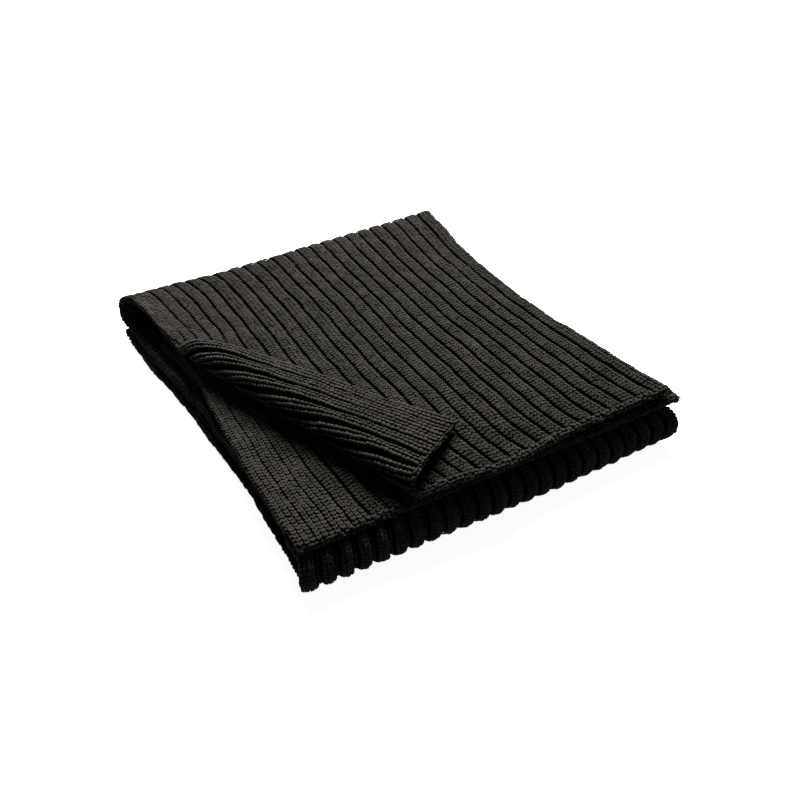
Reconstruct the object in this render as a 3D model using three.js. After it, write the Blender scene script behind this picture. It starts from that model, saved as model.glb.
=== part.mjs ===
// A rib-knit scarf, folded in half and then in three, with the near left corner of its top leaf turned back.
// Millimetres. X runs across the knit, Y along its ribs with the free ends at -Y, and Z up from the surface.

import * as THREE from 'three';

// The knit: its width, its ribs and its wall
const WIDTH = 250;
const RIBS = 24;
const WALL = 3;
const RELIEF = 1.5;
const CLOTH = WALL + RELIEF;
const SEAM = 0.3;

// Where the free ends lie, and where one stretch of cloth hands over to the next
const TOP_END = -138;
const TOP_END_WAVE = { at: 0.53, width: 0.11, depth: 5 };
const SECOND_END = -134.5;
const SECOND_END_SLANT = 7;
const TOP_TO_BACK_FOLD = 118;
const SECOND_BACK = 98;
const MIDDLE_BACK = 95.5;
const FRONT_FOLD_REACH = -104;
const LOWER_FOLD_START = 128;
const BODY_START = FRONT_FOLD_REACH + 2 * SEAM;
const BODY_STATIONS = [BODY_START, -60, -10, 40, 72, MIDDLE_BACK];

// The selvages of each layer, seen from above, at stations along the scarf
const PLAN = [
  { y: -146, lowerLeft: -123.5, middleLeft: -122, secondLeft: -124.5, lowerRight: 123, secondRight: 135 },
  { y: -105, lowerLeft: -121.5, middleLeft: -119.5, secondLeft: -123.6, lowerRight: 120.5, secondRight: 122 },
  { y: -60, lowerLeft: -119.3, middleLeft: -117, secondLeft: -121.8, lowerRight: 117, secondRight: 117.5 },
  { y: -10, lowerLeft: -120.5, middleLeft: -117.5, secondLeft: -118.2, lowerRight: 116.5, secondRight: 114 },
  { y: 35, lowerLeft: -122.3, middleLeft: -119.5, secondLeft: -113, lowerRight: 117, secondRight: 113.5 },
  { y: 70, lowerLeft: -124.8, middleLeft: -122.3, secondLeft: -112.5, lowerRight: 119, secondRight: 115 },
  { y: 105, lowerLeft: -128, middleLeft: -125, secondLeft: -112, lowerRight: 122.5, secondRight: 119 },
  { y: 147, lowerLeft: -128.5, middleLeft: -126.5, secondLeft: -112, lowerRight: 126, secondRight: 122 },
];

// The top leaf's right selvage curves in at the middle of the scarf
const TOP_RIGHT = [
  { y: -138, x: 125 },
  { y: -110, x: 121.5 },
  { y: -70, x: 118 },
  { y: -12, x: 115.5 },
  { y: 37, x: 116 },
  { y: 75, x: 118 },
  { y: 118, x: 124 },
  { y: 147, x: 128 },
];

// Its left selvage is pulled in behind the turned corner; in front of that it is given as if laid out flat
const TOP_LEFT = [
  { y: -138, x: -125.5 },
  { y: -96, x: -125 },
  { y: -50, x: -132 },
  { y: -15, x: -134.5 },
  { y: 20, x: -132 },
  { y: 40, x: -126 },
  { y: 55, x: -118.5 },
  { y: 68, x: -114.5 },
  { y: 94, x: -116.2 },
  { y: 118, x: -118.5 },
  { y: 134, x: -121.5 },
  { y: 147, x: -126.5 },
];

// How high the layers lie: the lower pair's top, and the undersides of the second leaf and the top leaf
const LEVELS = [
  { y: -146, lower: 11.5, second: 28.2, top: 35 },
  { y: -100, lower: 11.4, second: 28, top: 34.7 },
  { y: -50, lower: 10.8, second: 26.3, top: 33.2 },
  { y: 0, lower: 10, second: 23.8, top: 31.6 },
  { y: 50, lower: 9.2, second: 21.3, top: 30.2 },
  { y: 100, lower: 8.4, second: 19, top: 29 },
  { y: 147, lower: 8.3, second: 18.2, top: 28.8 },
];

// The top leaf bulges up towards both back corners and droops over its right edge at mid-length
const RIGHT_BACK = { lift: 3, fromX: -60, overX: 190, fromY: -20, overY: 160 };
const LEFT_BACK = { lift: 2, fromX: -30, overX: 80, fromY: 60, overY: 70 };
const RIGHT_EDGE = { droop: 2, fromX: 90, overX: 30, middleY: 10, halfLength: 130 };

// The turned corner rolls over a slanting line and lies back on the top leaf
const CORNER = new THREE.Vector2(-125, -140);
const ROLL_ACROSS = new THREE.Vector2(0.9586, 0.2846);
const ROLL_ALONG = new THREE.Vector2(0.2846, -0.9586);
const ROLL_START = 72;
const CORNER_RIBS = 6.75;
const ROLL_RADII = [
  { t: -200, radius: 5 },
  { t: -160, radius: 7 },
  { t: -100, radius: 7.8 },
  { t: -50, radius: 7 },
  { t: 30, radius: 5.8 },
];
const WIDEST_ROLL = Math.max(...ROLL_RADII.map(({ radius }) => radius));
const ROLL_SHARE = 0.75;
const PULL_FADES = 7;
const FLAP_SETTLES_OVER = 62;
const FLAP_RESTS_AT = CLOTH + 0.7;

// The rounded folds: how far each reaches in Y beyond the centre of its round, and how its ends swell
const FRONT_FOLD = { centre: -129, reach: 14.5, endSwell: 4.5 };
const FRONT_FOLD_SLANT = 5.5;
const FRONT_FOLD_BOW = 2;
const BACK_FOLD = { centre: 135, reach: 13, lowerEnd: 96, endSwell: 2.5 };
const SECOND_FOLD_REACH = 7;
const LOWER_FOLD_REACH = 12.5;

// Steps along each stretch
const TOP_LEAF_ROWS = 8;
const ROLL_ROWS = 8;
const FLAP_ROWS = 4;
const FOLD_STEPS = 8;
const SECOND_FOLD_STEPS = 4;
const LOWER_FOLD_STEPS = 6;

// Places across one rib, and how much of the relief stands there: the valley is narrow, the crown broad
const RIB_PROFILE = [
  { at: 0, height: 0 },
  { at: 0.17, height: 0.85 },
  { at: 0.5, height: 1 },
  { at: 0.83, height: 0.85 },
];
const PLAIN_STEPS_PER_RIB = 1;

// Where the ribs lie stretched flat: near the left selvage of the top leaf's back and of the second leaf
const TOP_FLAT_RIBS = { least: 0.3, fromU: 0.02, overU: 0.16, fromY: 20, overY: 80 };
const SECOND_FLAT_RIBS = { least: 0.35, fromU: 0.12, overU: 0.2 };

// The edges of the hidden layers: how round they are, the groove between two, and how far one is set in
const EDGE_ROUND = 1.6;
const EDGE_GROOVE = 0.35;
const LOWER_SET_IN = 1;
const MIDDLE_SET_IN = { front: 0.5, back: 8, fromY: -40, overY: 110 };
const MIDDLE_RIGHT_SET_IN = 1;
const NOSE_STEPS = [0.4, 1.6, 4];

const YARN = new THREE.Color(0x3a3835);
const SHADED_YARN = new THREE.Color(0x262522);

/** Smooth value of one named column of a table, at a place between its rows. */
function fromTable(table, key, at, column) {
  const last = table.length - 1;
  const clamped = Math.min(Math.max(at, table[0][key]), table[last][key]);
  let i = 0;
  while (i < last - 1 && clamped > table[i + 1][key]) i += 1;
  const slope = (row) => {
    const before = table[Math.max(row - 1, 0)];
    const after = table[Math.min(row + 1, last)];
    return (after[column] - before[column]) / (after[key] - before[key]);
  };
  const span = table[i + 1][key] - table[i][key];
  const s = (clamped - table[i][key]) / span;
  return (
    table[i][column] * (1 + 2 * s) * (1 - s) ** 2 +
    table[i + 1][column] * s * s * (3 - 2 * s) +
    slope(i) * span * s * (1 - s) ** 2 -
    slope(i + 1) * span * s * s * (1 - s)
  );
}

const plan = (y, column) => fromTable(PLAN, 'y', y, column);
const level = (y, column) => fromTable(LEVELS, 'y', y, column);
const mix = (a, b, share) => a + (b - a) * share;
const smooth = (value) => {
  const s = Math.min(Math.max(value, 0), 1);
  return s * s * (3 - 2 * s);
};
const ramp = (value, from, over) => smooth((value - from) / over);

/** Places across the knit from u0 to u1, each with its share of the rib relief. */
function ribStations(u0, u1) {
  const stations = [];
  for (let rib = 0; rib < RIBS; rib += 1) {
    for (const { at, height } of RIB_PROFILE) {
      const u = (rib + at) / RIBS;
      if (u > u0 + 1e-6 && u < u1 - 1e-6) stations.push({ u, height });
    }
  }
  return [{ u: u0, height: 0 }, ...stations, { u: u1, height: 0 }];
}

/** Evenly spaced places across the knit, for a plain face. */
function plainStations(u0, u1) {
  const count = Math.max(2, Math.round((u1 - u0) * RIBS * PLAIN_STEPS_PER_RIB));
  return Array.from({ length: count + 1 }, (_, i) => ({ u: mix(u0, u1, i / count), height: 0 }));
}

/** Triangles between two rows of points that share their ends but not their number. */
function zip(first, second, firstPlaces, secondPlaces) {
  const triangles = [];
  let i = 0;
  let j = 0;
  while (i < first.length - 1 || j < second.length - 1) {
    const firstNext = i < first.length - 1 ? firstPlaces[i + 1].u : Infinity;
    const secondNext = j < second.length - 1 ? secondPlaces[j + 1].u : Infinity;
    if (firstNext <= secondNext) {
      triangles.push([first[i], first[i + 1], second[j]]);
      i += 1;
    } else {
      triangles.push([first[i], second[j + 1], second[j]]);
      j += 1;
    }
  }
  return triangles;
}

/** Turns vertices and triangles into a geometry whose faces point out. */
function closedGeometry(vertices, triangles) {
  let volume = 0;
  for (const [a, b, c] of triangles) {
    volume += vertices[a].dot(new THREE.Vector3().crossVectors(vertices[b], vertices[c]));
  }
  const ordered = volume > 0 ? triangles : triangles.map(([a, b, c]) => [a, c, b]);
  const geometry = new THREE.BufferGeometry();
  const positions = vertices.flatMap((vertex) => vertex.toArray());
  geometry.setAttribute('position', new THREE.Float32BufferAttribute(positions, 3));
  geometry.setIndex(ordered.flat());
  geometry.computeVertexNormals();
  return geometry;
}

/**
 * A closed wall of knit. surface(u, row) gives a point midway through the cloth and its outward direction;
 * the outer face carries the ribs and the inner face is plain.
 */
function knitWall({ from = 0, to = 1, rows, surface, relief = () => 1 }) {
  const ribbed = ribStations(from, to);
  const plain = plainStations(from, to);
  const vertices = [];
  const add = (u, row, offset) => {
    const { point, outward } = surface(u, row);
    vertices.push(point.clone().addScaledVector(outward, offset));
    return vertices.length - 1;
  };
  const outer = [];
  const inner = [];
  for (let row = 0; row <= rows; row += 1) {
    outer.push(
      ribbed.map(({ u, height }) => add(u, row, CLOTH / 2 - RELIEF * (1 - height * relief(u, row)))),
    );
    inner.push(plain.map(({ u }) => add(u, row, -CLOTH / 2)));
  }
  const triangles = [];
  const quad = (a, b, c, d) => triangles.push([a, b, c], [a, c, d]);
  for (let row = 0; row < rows; row += 1) {
    for (let i = 0; i < ribbed.length - 1; i += 1) {
      quad(outer[row][i], outer[row][i + 1], outer[row + 1][i + 1], outer[row + 1][i]);
    }
    for (let i = 0; i < plain.length - 1; i += 1) {
      quad(inner[row][i], inner[row + 1][i], inner[row + 1][i + 1], inner[row][i + 1]);
    }
    quad(outer[row][0], outer[row + 1][0], inner[row + 1][0], inner[row][0]);
    quad(outer[row].at(-1), inner[row].at(-1), inner[row + 1].at(-1), outer[row + 1].at(-1));
  }
  for (const [a, b, c] of zip(outer[0], inner[0], ribbed, plain)) triangles.push([a, c, b]);
  triangles.push(...zip(outer[rows], inner[rows], ribbed, plain));
  return closedGeometry(vertices, triangles);
}

/** A closed solid through sections that all have the same number of points, closed by a fan at each end. */
function loft(sections) {
  const count = sections[0].length;
  const vertices = sections.flat();
  const triangles = [];
  for (let s = 0; s < sections.length - 1; s += 1) {
    for (let i = 0; i < count; i += 1) {
      const next = (i + 1) % count;
      const a = s * count + i;
      const b = s * count + next;
      triangles.push([a, b, b + count], [a, b + count, a + count]);
    }
  }
  for (const s of [0, sections.length - 1]) {
    const middle = new THREE.Vector3();
    for (const point of sections[s]) middle.addScaledVector(point, 1 / count);
    vertices.push(middle);
    for (let i = 0; i < count; i += 1) {
      const rim = [s * count + i, s * count + ((i + 1) % count)];
      triangles.push(s === 0 ? [rim[1], rim[0], vertices.length - 1] : [...rim, vertices.length - 1]);
    }
  }
  return closedGeometry(vertices, triangles);
}

/** Underside of the top leaf. */
function topUnderside(x, y) {
  const rightLift = RIGHT_BACK.lift * ramp(x, RIGHT_BACK.fromX, RIGHT_BACK.overX) *
    ramp(y, RIGHT_BACK.fromY, RIGHT_BACK.overY);
  const leftLift = LEFT_BACK.lift * ramp(-x, -LEFT_BACK.fromX, LEFT_BACK.overX) *
    ramp(y, LEFT_BACK.fromY, LEFT_BACK.overY);
  const midLength = 1 - ramp(Math.abs(y - RIGHT_EDGE.middleY), 0, RIGHT_EDGE.halfLength);
  const droop = RIGHT_EDGE.droop * ramp(x, RIGHT_EDGE.fromX, RIGHT_EDGE.overX) * midLength;
  return level(y, 'top') + rightLift + leftLift - droop;
}

/** Place across the top leaf, as if it were laid out flat. */
function topAcross(u, y) {
  const right = fromTable(TOP_RIGHT, 'y', y, 'x');
  const left = fromTable(TOP_LEFT, 'y', y, 'x');
  const pull = left - (right - WIDTH);
  return right - (1 - u) * WIDTH + pull * (1 - u) ** PULL_FADES;
}

/** Distance of a flat place from the free corner, square to the roll. */
const fromCorner = (x, y) => (x - CORNER.x) * ROLL_ACROSS.x + (y - CORNER.y) * ROLL_ACROSS.y;

/** The top leaf's free end dips forward over the front fold, a little right of the turned corner. */
function topEnd(u) {
  const away = (u - TOP_END_WAVE.at) / TOP_END_WAVE.width;
  return TOP_END - TOP_END_WAVE.depth * Math.exp(-(away ** 2));
}

/** Where the column at u meets a line at a given distance from the corner, or the leaf's end. */
function rollCrossing(u, distance) {
  let low = topEnd(u);
  let high = TOP_TO_BACK_FOLD;
  if (fromCorner(topAcross(u, low), low) >= distance) return low;
  for (let i = 0; i < 40; i += 1) {
    const middle = (low + high) / 2;
    if (fromCorner(topAcross(u, middle), middle) < distance) low = middle;
    else high = middle;
  }
  return (low + high) / 2;
}

/** The ribs lie stretched flat near the left selvage, at the back of the top leaf. */
function topRelief(u, y) {
  const atTheBack = mix(TOP_FLAT_RIBS.least, 1, ramp(u, TOP_FLAT_RIBS.fromU, TOP_FLAT_RIBS.overU));
  return mix(1, atTheBack, ramp(y, TOP_FLAT_RIBS.fromY, TOP_FLAT_RIBS.overY));
}

/** The top leaf, from the line where its corner rolls up to the back fold. */
function topLeaf() {
  const rows = TOP_LEAF_ROWS;
  const place = (u, row) => {
    const start = rollCrossing(u, ROLL_START + SEAM);
    return mix(start, TOP_TO_BACK_FOLD - SEAM, row / rows);
  };
  return knitWall({
    rows,
    surface: (u, row) => {
      const y = place(u, row);
      const x = topAcross(u, y);
      const z = topUnderside(x, y) + CLOTH / 2;
      return { point: new THREE.Vector3(x, y, z), outward: new THREE.Vector3(0, 0, 1) };
    },
    relief: (u, row) => topRelief(u, place(u, row)),
  });
}

/** A flat place of the corner, carried round the roll. Its outward side is the reverse of the knit. */
function rolled(x, y) {
  const t = (x - CORNER.x) * ROLL_ALONG.x + (y - CORNER.y) * ROLL_ALONG.y;
  const path = ROLL_START - fromCorner(x, y);
  const radius = fromTable(ROLL_RADII, 't', t, 'radius');
  const half = Math.PI * radius;
  let across;
  let height;
  let slope;
  if (path < half) {
    const angle = path / radius;
    across = -radius * Math.sin(angle);
    height = radius * (1 - Math.cos(angle));
    slope = new THREE.Vector2(-Math.sin(angle), -Math.cos(angle));
  } else {
    const share = Math.min((path - half) / FLAP_SETTLES_OVER, 1);
    const fall = (2 * radius - FLAP_RESTS_AT) * smooth(share);
    across = path - half;
    height = 2 * radius - fall;
    const steep = ((2 * radius - FLAP_RESTS_AT) * 6 * share * (1 - share)) / FLAP_SETTLES_OVER;
    slope = new THREE.Vector2(steep, 1).normalize();
  }
  const s = ROLL_START + across;
  const place = CORNER.clone().addScaledVector(ROLL_ACROSS, s).addScaledVector(ROLL_ALONG, t);
  const seam = CORNER.clone().addScaledVector(ROLL_ACROSS, ROLL_START).addScaledVector(ROLL_ALONG, t);
  const base = Math.max(topUnderside(place.x, place.y), topUnderside(seam.x, seam.y)) + CLOTH / 2;
  return {
    point: new THREE.Vector3(place.x, place.y, base + height),
    outward: new THREE.Vector3(ROLL_ACROSS.x * slope.x, ROLL_ACROSS.y * slope.x, slope.y),
  };
}

/** The near left corner, rolled up and laid back on the top leaf. */
function turnedCorner() {
  const rows = ROLL_ROWS + FLAP_ROWS;
  return knitWall({
    from: 0,
    to: CORNER_RIBS / RIBS,
    rows,
    surface: (u, row) => {
      const seam = rollCrossing(u, ROLL_START);
      const end = topEnd(u);
      const endPath = ROLL_START - fromCorner(topAcross(u, end), end);
      const rollPath = Math.min(endPath * ROLL_SHARE, Math.PI * WIDEST_ROLL);
      const path = row <= ROLL_ROWS
        ? (rollPath * row) / ROLL_ROWS
        : mix(rollPath, endPath, (row - ROLL_ROWS) / FLAP_ROWS);
      const y = row === rows ? end : rollCrossing(u, ROLL_START - path);
      return row === 0 ? rolled(topAcross(u, seam), seam) : rolled(topAcross(u, y), y);
    },
  });
}

/** How far the front fold runs forward of its left end, at a share of the way to its right end. */
const frontRun = (share) => FRONT_FOLD_SLANT * share + FRONT_FOLD_BOW * 4 * share * (1 - share);

/** Half round of a fold, from its top (0) to its bottom (1), about a centre, with its outward direction. */
function foldRound(share, { centre, reach, top, bottom, side }) {
  const angle = Math.PI * (0.5 - share);
  const rise = (top - bottom) / 2;
  const y = centre + side * reach * Math.cos(angle);
  const z = (top + bottom) / 2 + rise * Math.sin(angle);
  const outward = new THREE.Vector3(0, (side * Math.cos(angle)) / reach, Math.sin(angle) / rise).normalize();
  return { y, z, outward, swell: Math.cos(angle) };
}

/** A place on a fold whose straight legs run on from its round: legs is { topFrom, bottomTo } in Y. */
function foldPlace(row, rows, legs, round) {
  if (row === 0) return { ...foldRound(0, round), y: legs.topFrom };
  if (row === rows) return { ...foldRound(1, round), y: legs.bottomTo };
  return foldRound((row - 1) / (rows - 2), round);
}

/** Point midway through the cloth, from a place on the crest of the outer face. */
function inward(x, { y, z, outward }) {
  return { point: new THREE.Vector3(x, y, z).addScaledVector(outward, -CLOTH / 2), outward };
}

/** The top leaf's fold at the back, round the second leaf and down to the lower layers. */
function backFold() {
  const rows = FOLD_STEPS + 2;
  return knitWall({
    rows,
    surface: (u, row) => {
      const place = foldPlace(
        row,
        rows,
        { topFrom: TOP_TO_BACK_FOLD, bottomTo: BACK_FOLD.lowerEnd },
        { ...BACK_FOLD, top: 0, bottom: -1, side: 1 },
      );
      const lowerHalf = place.z < -0.5;
      const left = lowerHalf ? plan(place.y, 'middleLeft') : topAcross(0, place.y);
      const right = lowerHalf ? plan(place.y, 'lowerRight') : topAcross(1, place.y);
      const across = row === 0 ? topAcross(u, place.y) : mix(left, right, u);
      const x = across + (2 * u - 1) * BACK_FOLD.endSwell * place.swell;
      const top = topUnderside(x, Math.min(place.y, BACK_FOLD.centre)) + CLOTH;
      const bottom = level(MIDDLE_BACK, 'lower') + SEAM;
      const round = { ...BACK_FOLD, top, bottom, side: 1 };
      const legs = { topFrom: TOP_TO_BACK_FOLD, bottomTo: BACK_FOLD.lowerEnd };
      return inward(x, foldPlace(row, rows, legs, round));
    },
    relief: (u, row) => (row < rows / 2 ? topRelief(u, 147) : 1),
  });
}

/** The big fold at the front, round the middle layers. */
function frontFold() {
  const rows = FOLD_STEPS + 2;
  const legs = { topFrom: FRONT_FOLD_REACH, bottomTo: FRONT_FOLD_REACH };
  return knitWall({
    rows,
    surface: (u, row) => {
      const top = level(FRONT_FOLD_REACH, 'second') - SEAM;
      const place = foldPlace(row, rows, legs, { ...FRONT_FOLD, top, bottom: 0, side: -1 });
      place.y -= row === 0 || row === rows ? 0 : frontRun(u);
      const across = mix(plan(place.y, 'lowerLeft'), plan(place.y, 'lowerRight'), u);
      return inward(across + (2 * u - 1) * FRONT_FOLD.endSwell * place.swell, place);
    },
  });
}

/** The ribs of the second leaf lie stretched flat on the left, where they show. */
function secondRelief(u) {
  return mix(SECOND_FLAT_RIBS.least, 1, ramp(u, SECOND_FLAT_RIBS.fromU, SECOND_FLAT_RIBS.overU));
}

/** The second leaf, with its own fold at the back. */
function secondLeaf() {
  const stations = [SECOND_END, ...BODY_STATIONS.slice(0, -1), SECOND_BACK];
  const leafRows = stations.length - 1;
  const rows = leafRows + SECOND_FOLD_STEPS;
  return knitWall({
    rows,
    surface: (u, row) => {
      const top = level(SECOND_BACK, 'second') + CLOTH;
      const bottom = level(SECOND_BACK, 'lower') + CLOTH + 2 * SEAM;
      const round = { centre: SECOND_BACK, reach: SECOND_FOLD_REACH, top, bottom, side: 1 };
      if (row >= leafRows) {
        const place = foldRound((row - leafRows) / SECOND_FOLD_STEPS, round);
        return inward(mix(plan(place.y, 'secondLeft'), plan(place.y, 'secondRight'), u), place);
      }
      const y = stations[row] - (row === 0 ? SECOND_END_SLANT * u : 0);
      const x = mix(plan(y, 'secondLeft'), plan(y, 'secondRight'), u);
      const z = level(y, 'second') + CLOTH / 2;
      return { point: new THREE.Vector3(x, y, z), outward: new THREE.Vector3(0, 0, 1) };
    },
    relief: secondRelief,
  });
}

/** Section of two layers that lie on each other, with a rounded edge to each and a groove between. */
function layeredSection(y, { left, right, bottom, top, middle, setIn }) {
  const edge = (x, side, low, high, depth) => [
    new THREE.Vector3(x - side * depth, y, low),
    new THREE.Vector3(x, y, mix(low, high, 0.3)),
    new THREE.Vector3(x, y, mix(low, high, 0.7)),
    new THREE.Vector3(x - side * depth, y, high),
  ];
  const depth = Math.min(EDGE_ROUND, (top - bottom) / 6);
  const rightLower = edge(right, 1, bottom, middle - EDGE_GROOVE, depth);
  const rightUpper = edge(right - setIn, 1, middle + EDGE_GROOVE, top, depth);
  const leftLower = edge(left, -1, bottom, middle - EDGE_GROOVE, depth);
  const leftUpper = edge(left + setIn, -1, middle + EDGE_GROOVE, top, depth);
  const cut = setIn + 2.5 * depth;
  return [
    ...rightLower,
    new THREE.Vector3(right - cut, y, middle),
    ...rightUpper,
    ...leftUpper.reverse(),
    new THREE.Vector3(left + cut, y, middle),
    ...leftLower.reverse(),
  ];
}

/** The third and fourth leaves, with a nose that fills the front fold. */
function middleLayers() {
  const clear = CLOTH + 2 * SEAM;
  const nose = FRONT_FOLD.centre - FRONT_FOLD.reach + clear;
  const inside = (y) => {
    const reach = FRONT_FOLD.centre - nose;
    const share = Math.min(Math.max((FRONT_FOLD.centre - y) / reach, 0), 1);
    const centre = (level(FRONT_FOLD_REACH, 'second') - SEAM) / 2;
    const rise = (centre - clear) * Math.sqrt(1 - share * share);
    return { bottom: centre - rise, top: centre + rise };
  };
  const between = (y) => ({ bottom: level(y, 'lower') + SEAM, top: level(y, 'second') - SEAM });
  const section = (y, { bottom, top }, setIn) => layeredSection(y, {
    left: plan(y, 'middleLeft'),
    right: plan(y, 'lowerRight') - MIDDLE_RIGHT_SET_IN,
    bottom,
    top,
    middle: mix(bottom, top, 0.48),
    setIn,
  });
  const setIn = (y) => mix(
    MIDDLE_SET_IN.front,
    MIDDLE_SET_IN.back,
    ramp(y, MIDDLE_SET_IN.fromY, MIDDLE_SET_IN.overY),
  );
  const noseStations = [...NOSE_STEPS.map((step) => nose + step), FRONT_FOLD.centre, FRONT_FOLD_REACH + SEAM];
  const sections = [
    ...noseStations.map((y) => section(y, inside(y), setIn(y))),
    ...BODY_STATIONS.map((y) => section(y, between(y), setIn(y))),
  ];
  for (const point of sections.flat()) {
    const ahead = ramp(-point.y, -FRONT_FOLD_REACH, FRONT_FOLD_REACH - FRONT_FOLD.centre);
    point.y -= frontRun(point.x / WIDTH + 0.5) * ahead;
  }
  return loft(sections);
}

/** The two lowest leaves, flat underneath where they rest. */
function lowerLayers() {
  const stations = [BODY_START + SEAM, ...BODY_STATIONS.slice(1), LOWER_FOLD_START - SEAM];
  return loft(stations.map((y) => layeredSection(y, {
    left: plan(y, 'lowerLeft'),
    right: plan(y, 'lowerRight'),
    bottom: 0,
    top: level(y, 'lower'),
    middle: level(y, 'lower') / 2,
    setIn: LOWER_SET_IN,
  })));
}

/** The half round at the back of the two lowest leaves: a ribbed face, closed flat in front. */
function lowerFold() {
  const rows = LOWER_FOLD_STEPS;
  const top = level(LOWER_FOLD_START, 'lower');
  const round = { centre: LOWER_FOLD_START, reach: LOWER_FOLD_REACH, top, bottom: 0, side: 1 };
  const ribbed = ribStations(0, 1);
  const face = [];
  for (let row = 0; row <= rows; row += 1) {
    const place = foldRound(row / rows, round);
    for (const { u, height } of ribbed) {
      const x = mix(plan(place.y, 'lowerLeft'), plan(place.y, 'lowerRight'), u);
      const sink = RELIEF * (1 - height) * place.swell;
      face.push(new THREE.Vector3(x, place.y, place.z).addScaledVector(place.outward, -sink));
    }
  }
  const triangles = [];
  const count = ribbed.length;
  for (let row = 0; row < rows; row += 1) {
    for (let i = 0; i < count - 1; i += 1) {
      const a = row * count + i;
      triangles.push([a, a + 1, a + 1 + count], [a, a + 1 + count, a + count]);
    }
  }
  for (const i of [0, count - 1]) {
    for (let row = 1; row < rows; row += 1) {
      const [a, b] = [row * count + i, (row + 1) * count + i];
      triangles.push(i === 0 ? [i, a, b] : [i, b, a]);
    }
  }
  const bottomRow = rows * count;
  for (let i = 0; i < count - 1; i += 1) {
    triangles.push([i + 1, i, bottomRow + i], [i + 1, bottomRow + i, bottomRow + i + 1]);
  }
  return closedGeometry(face, triangles);
}

/** Names a stretch of the cloth and gives it the yarn's colour. */
function stretch(name, geometry, colour) {
  const yarn = new THREE.MeshStandardMaterial({ color: colour, roughness: 0.95, metalness: 0 });
  const mesh = new THREE.Mesh(geometry, yarn);
  mesh.name = name;
  return mesh;
}

const scarf = new THREE.Group();
scarf.add(
  stretch('top_leaf', topLeaf(), YARN),
  stretch('turned_corner', turnedCorner(), YARN),
  stretch('back_fold', backFold(), YARN),
  stretch('second_leaf', secondLeaf(), YARN),
  stretch('front_fold', frontFold(), YARN),
  stretch('lower_fold', lowerFold(), SHADED_YARN),
  stretch('middle_layers', middleLayers(), SHADED_YARN),
  stretch('lower_layers', lowerLayers(), SHADED_YARN),
);

// The origin is the middle of the scarf's footprint, on the surface it lies on
const footprint = new THREE.Box3().setFromObject(scarf);
const middle = footprint.getCenter(new THREE.Vector3());
scarf.position.set(-middle.x, -middle.y, -footprint.min.z);

export default scarf;
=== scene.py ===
"""A rib-knit scarf, folded in half and then in three, with the near left corner of its top leaf turned back.

The cloth is laid out in the knit's own coordinates, in millimetres. u runs across it, from the left selvage
(0) to the right one (1), and v runs along its ribs. Each stretch of cloth says where its middle lies, and the
wall, the ribs, the single stitches, the selvages and the free ends are all worked out from that.
"""

from __future__ import annotations

import logging
import math
from dataclasses import dataclass, field
from enum import Enum
from typing import Any

import bmesh
import bpy
import numpy as np
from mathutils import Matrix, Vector

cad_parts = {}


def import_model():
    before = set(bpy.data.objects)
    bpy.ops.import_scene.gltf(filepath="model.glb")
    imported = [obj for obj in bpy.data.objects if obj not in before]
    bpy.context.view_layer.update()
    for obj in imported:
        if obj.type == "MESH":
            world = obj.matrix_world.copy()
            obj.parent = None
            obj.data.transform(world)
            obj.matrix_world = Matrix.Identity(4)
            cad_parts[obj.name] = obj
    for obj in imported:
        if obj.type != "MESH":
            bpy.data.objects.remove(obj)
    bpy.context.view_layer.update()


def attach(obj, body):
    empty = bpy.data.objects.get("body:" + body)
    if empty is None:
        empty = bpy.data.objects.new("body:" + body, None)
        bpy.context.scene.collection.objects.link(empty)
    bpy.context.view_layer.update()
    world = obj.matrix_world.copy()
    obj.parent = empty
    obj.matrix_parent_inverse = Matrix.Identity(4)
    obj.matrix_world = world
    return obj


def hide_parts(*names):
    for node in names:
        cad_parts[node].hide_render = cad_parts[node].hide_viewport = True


LOG = logging.getLogger("scarf")
Array = np.ndarray

# The knit: its width, its ribs and how thick it is
WIDTH = 250.0
RIBS = 24
CLOTH = 4.5
SEAM = 0.3

# Where the free ends lie, and where one stretch of cloth hands over to the next
TOP_END = -138.0
TOP_END_WAVE_AT = 0.53
TOP_END_WAVE_WIDTH = 0.11
TOP_END_WAVE_DEPTH = 5.0
SECOND_END = -134.5
SECOND_END_SLANT = 7.0
SECOND_TIP_ROUND = 4.0
END_EVENS_OUT = 60.0
TOP_TO_BACK_FOLD = 118.0
SECOND_BACK = 98.0
MIDDLE_BACK = 95.5
FRONT_FOLD_LEG = -104.0
LOWER_FOLD_START = 128.0

# The turned corner rolls over a slanting line and lies back on the top leaf
CORNER = np.array([-125.0, -140.0])
ROLL_ACROSS = np.array([0.9586, 0.2846])
ROLL_ALONG = np.array([0.2846, -0.9586])
ROLL_START = 72.0
CORNER_RIBS = 6.9
PULL_FADES = 7
FLAP_SETTLES_OVER = 62.0
FLAP_RESTS_AT = CLOTH + 0.7

# The rounded folds
FRONT_CENTRE = -129.0
FRONT_REACH = 14.5
FRONT_SLANT = 5.5
FRONT_BOW = 2.0
FRONT_SWELL = 4.5
BACK_CENTRE = 135.0
BACK_REACH = 13.0
BACK_LOWER_END = 96.0
BACK_SWELL = 2.5
BACK_HEEL = 3.5
SECOND_FOLD_REACH = 7.0
LOWER_FOLD_LEG = 6.5
LOWER_FOLD_REACH = 6.0
LOWER_FOLD_CORNER = 4.5
LOWER_FOLD_WALL = 3.4
ROUND_STEPS = 181

# The middle of the folded scarf's footprint, which is the frame's origin
CENTRE_X = 0.3563
CENTRE_Y = -0.5972
MM = 0.001
FLOOR_CLEARANCE = 0.15

# How far the top leaf bulges up at its back corners, and how far it droops over its right edge
BACK_RIGHT_LIFT = 3.0
BACK_LEFT_LIFT = 2.0
RIGHT_DROOP = 2.0
RIGHT_DROOP_AT = 10.0

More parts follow.
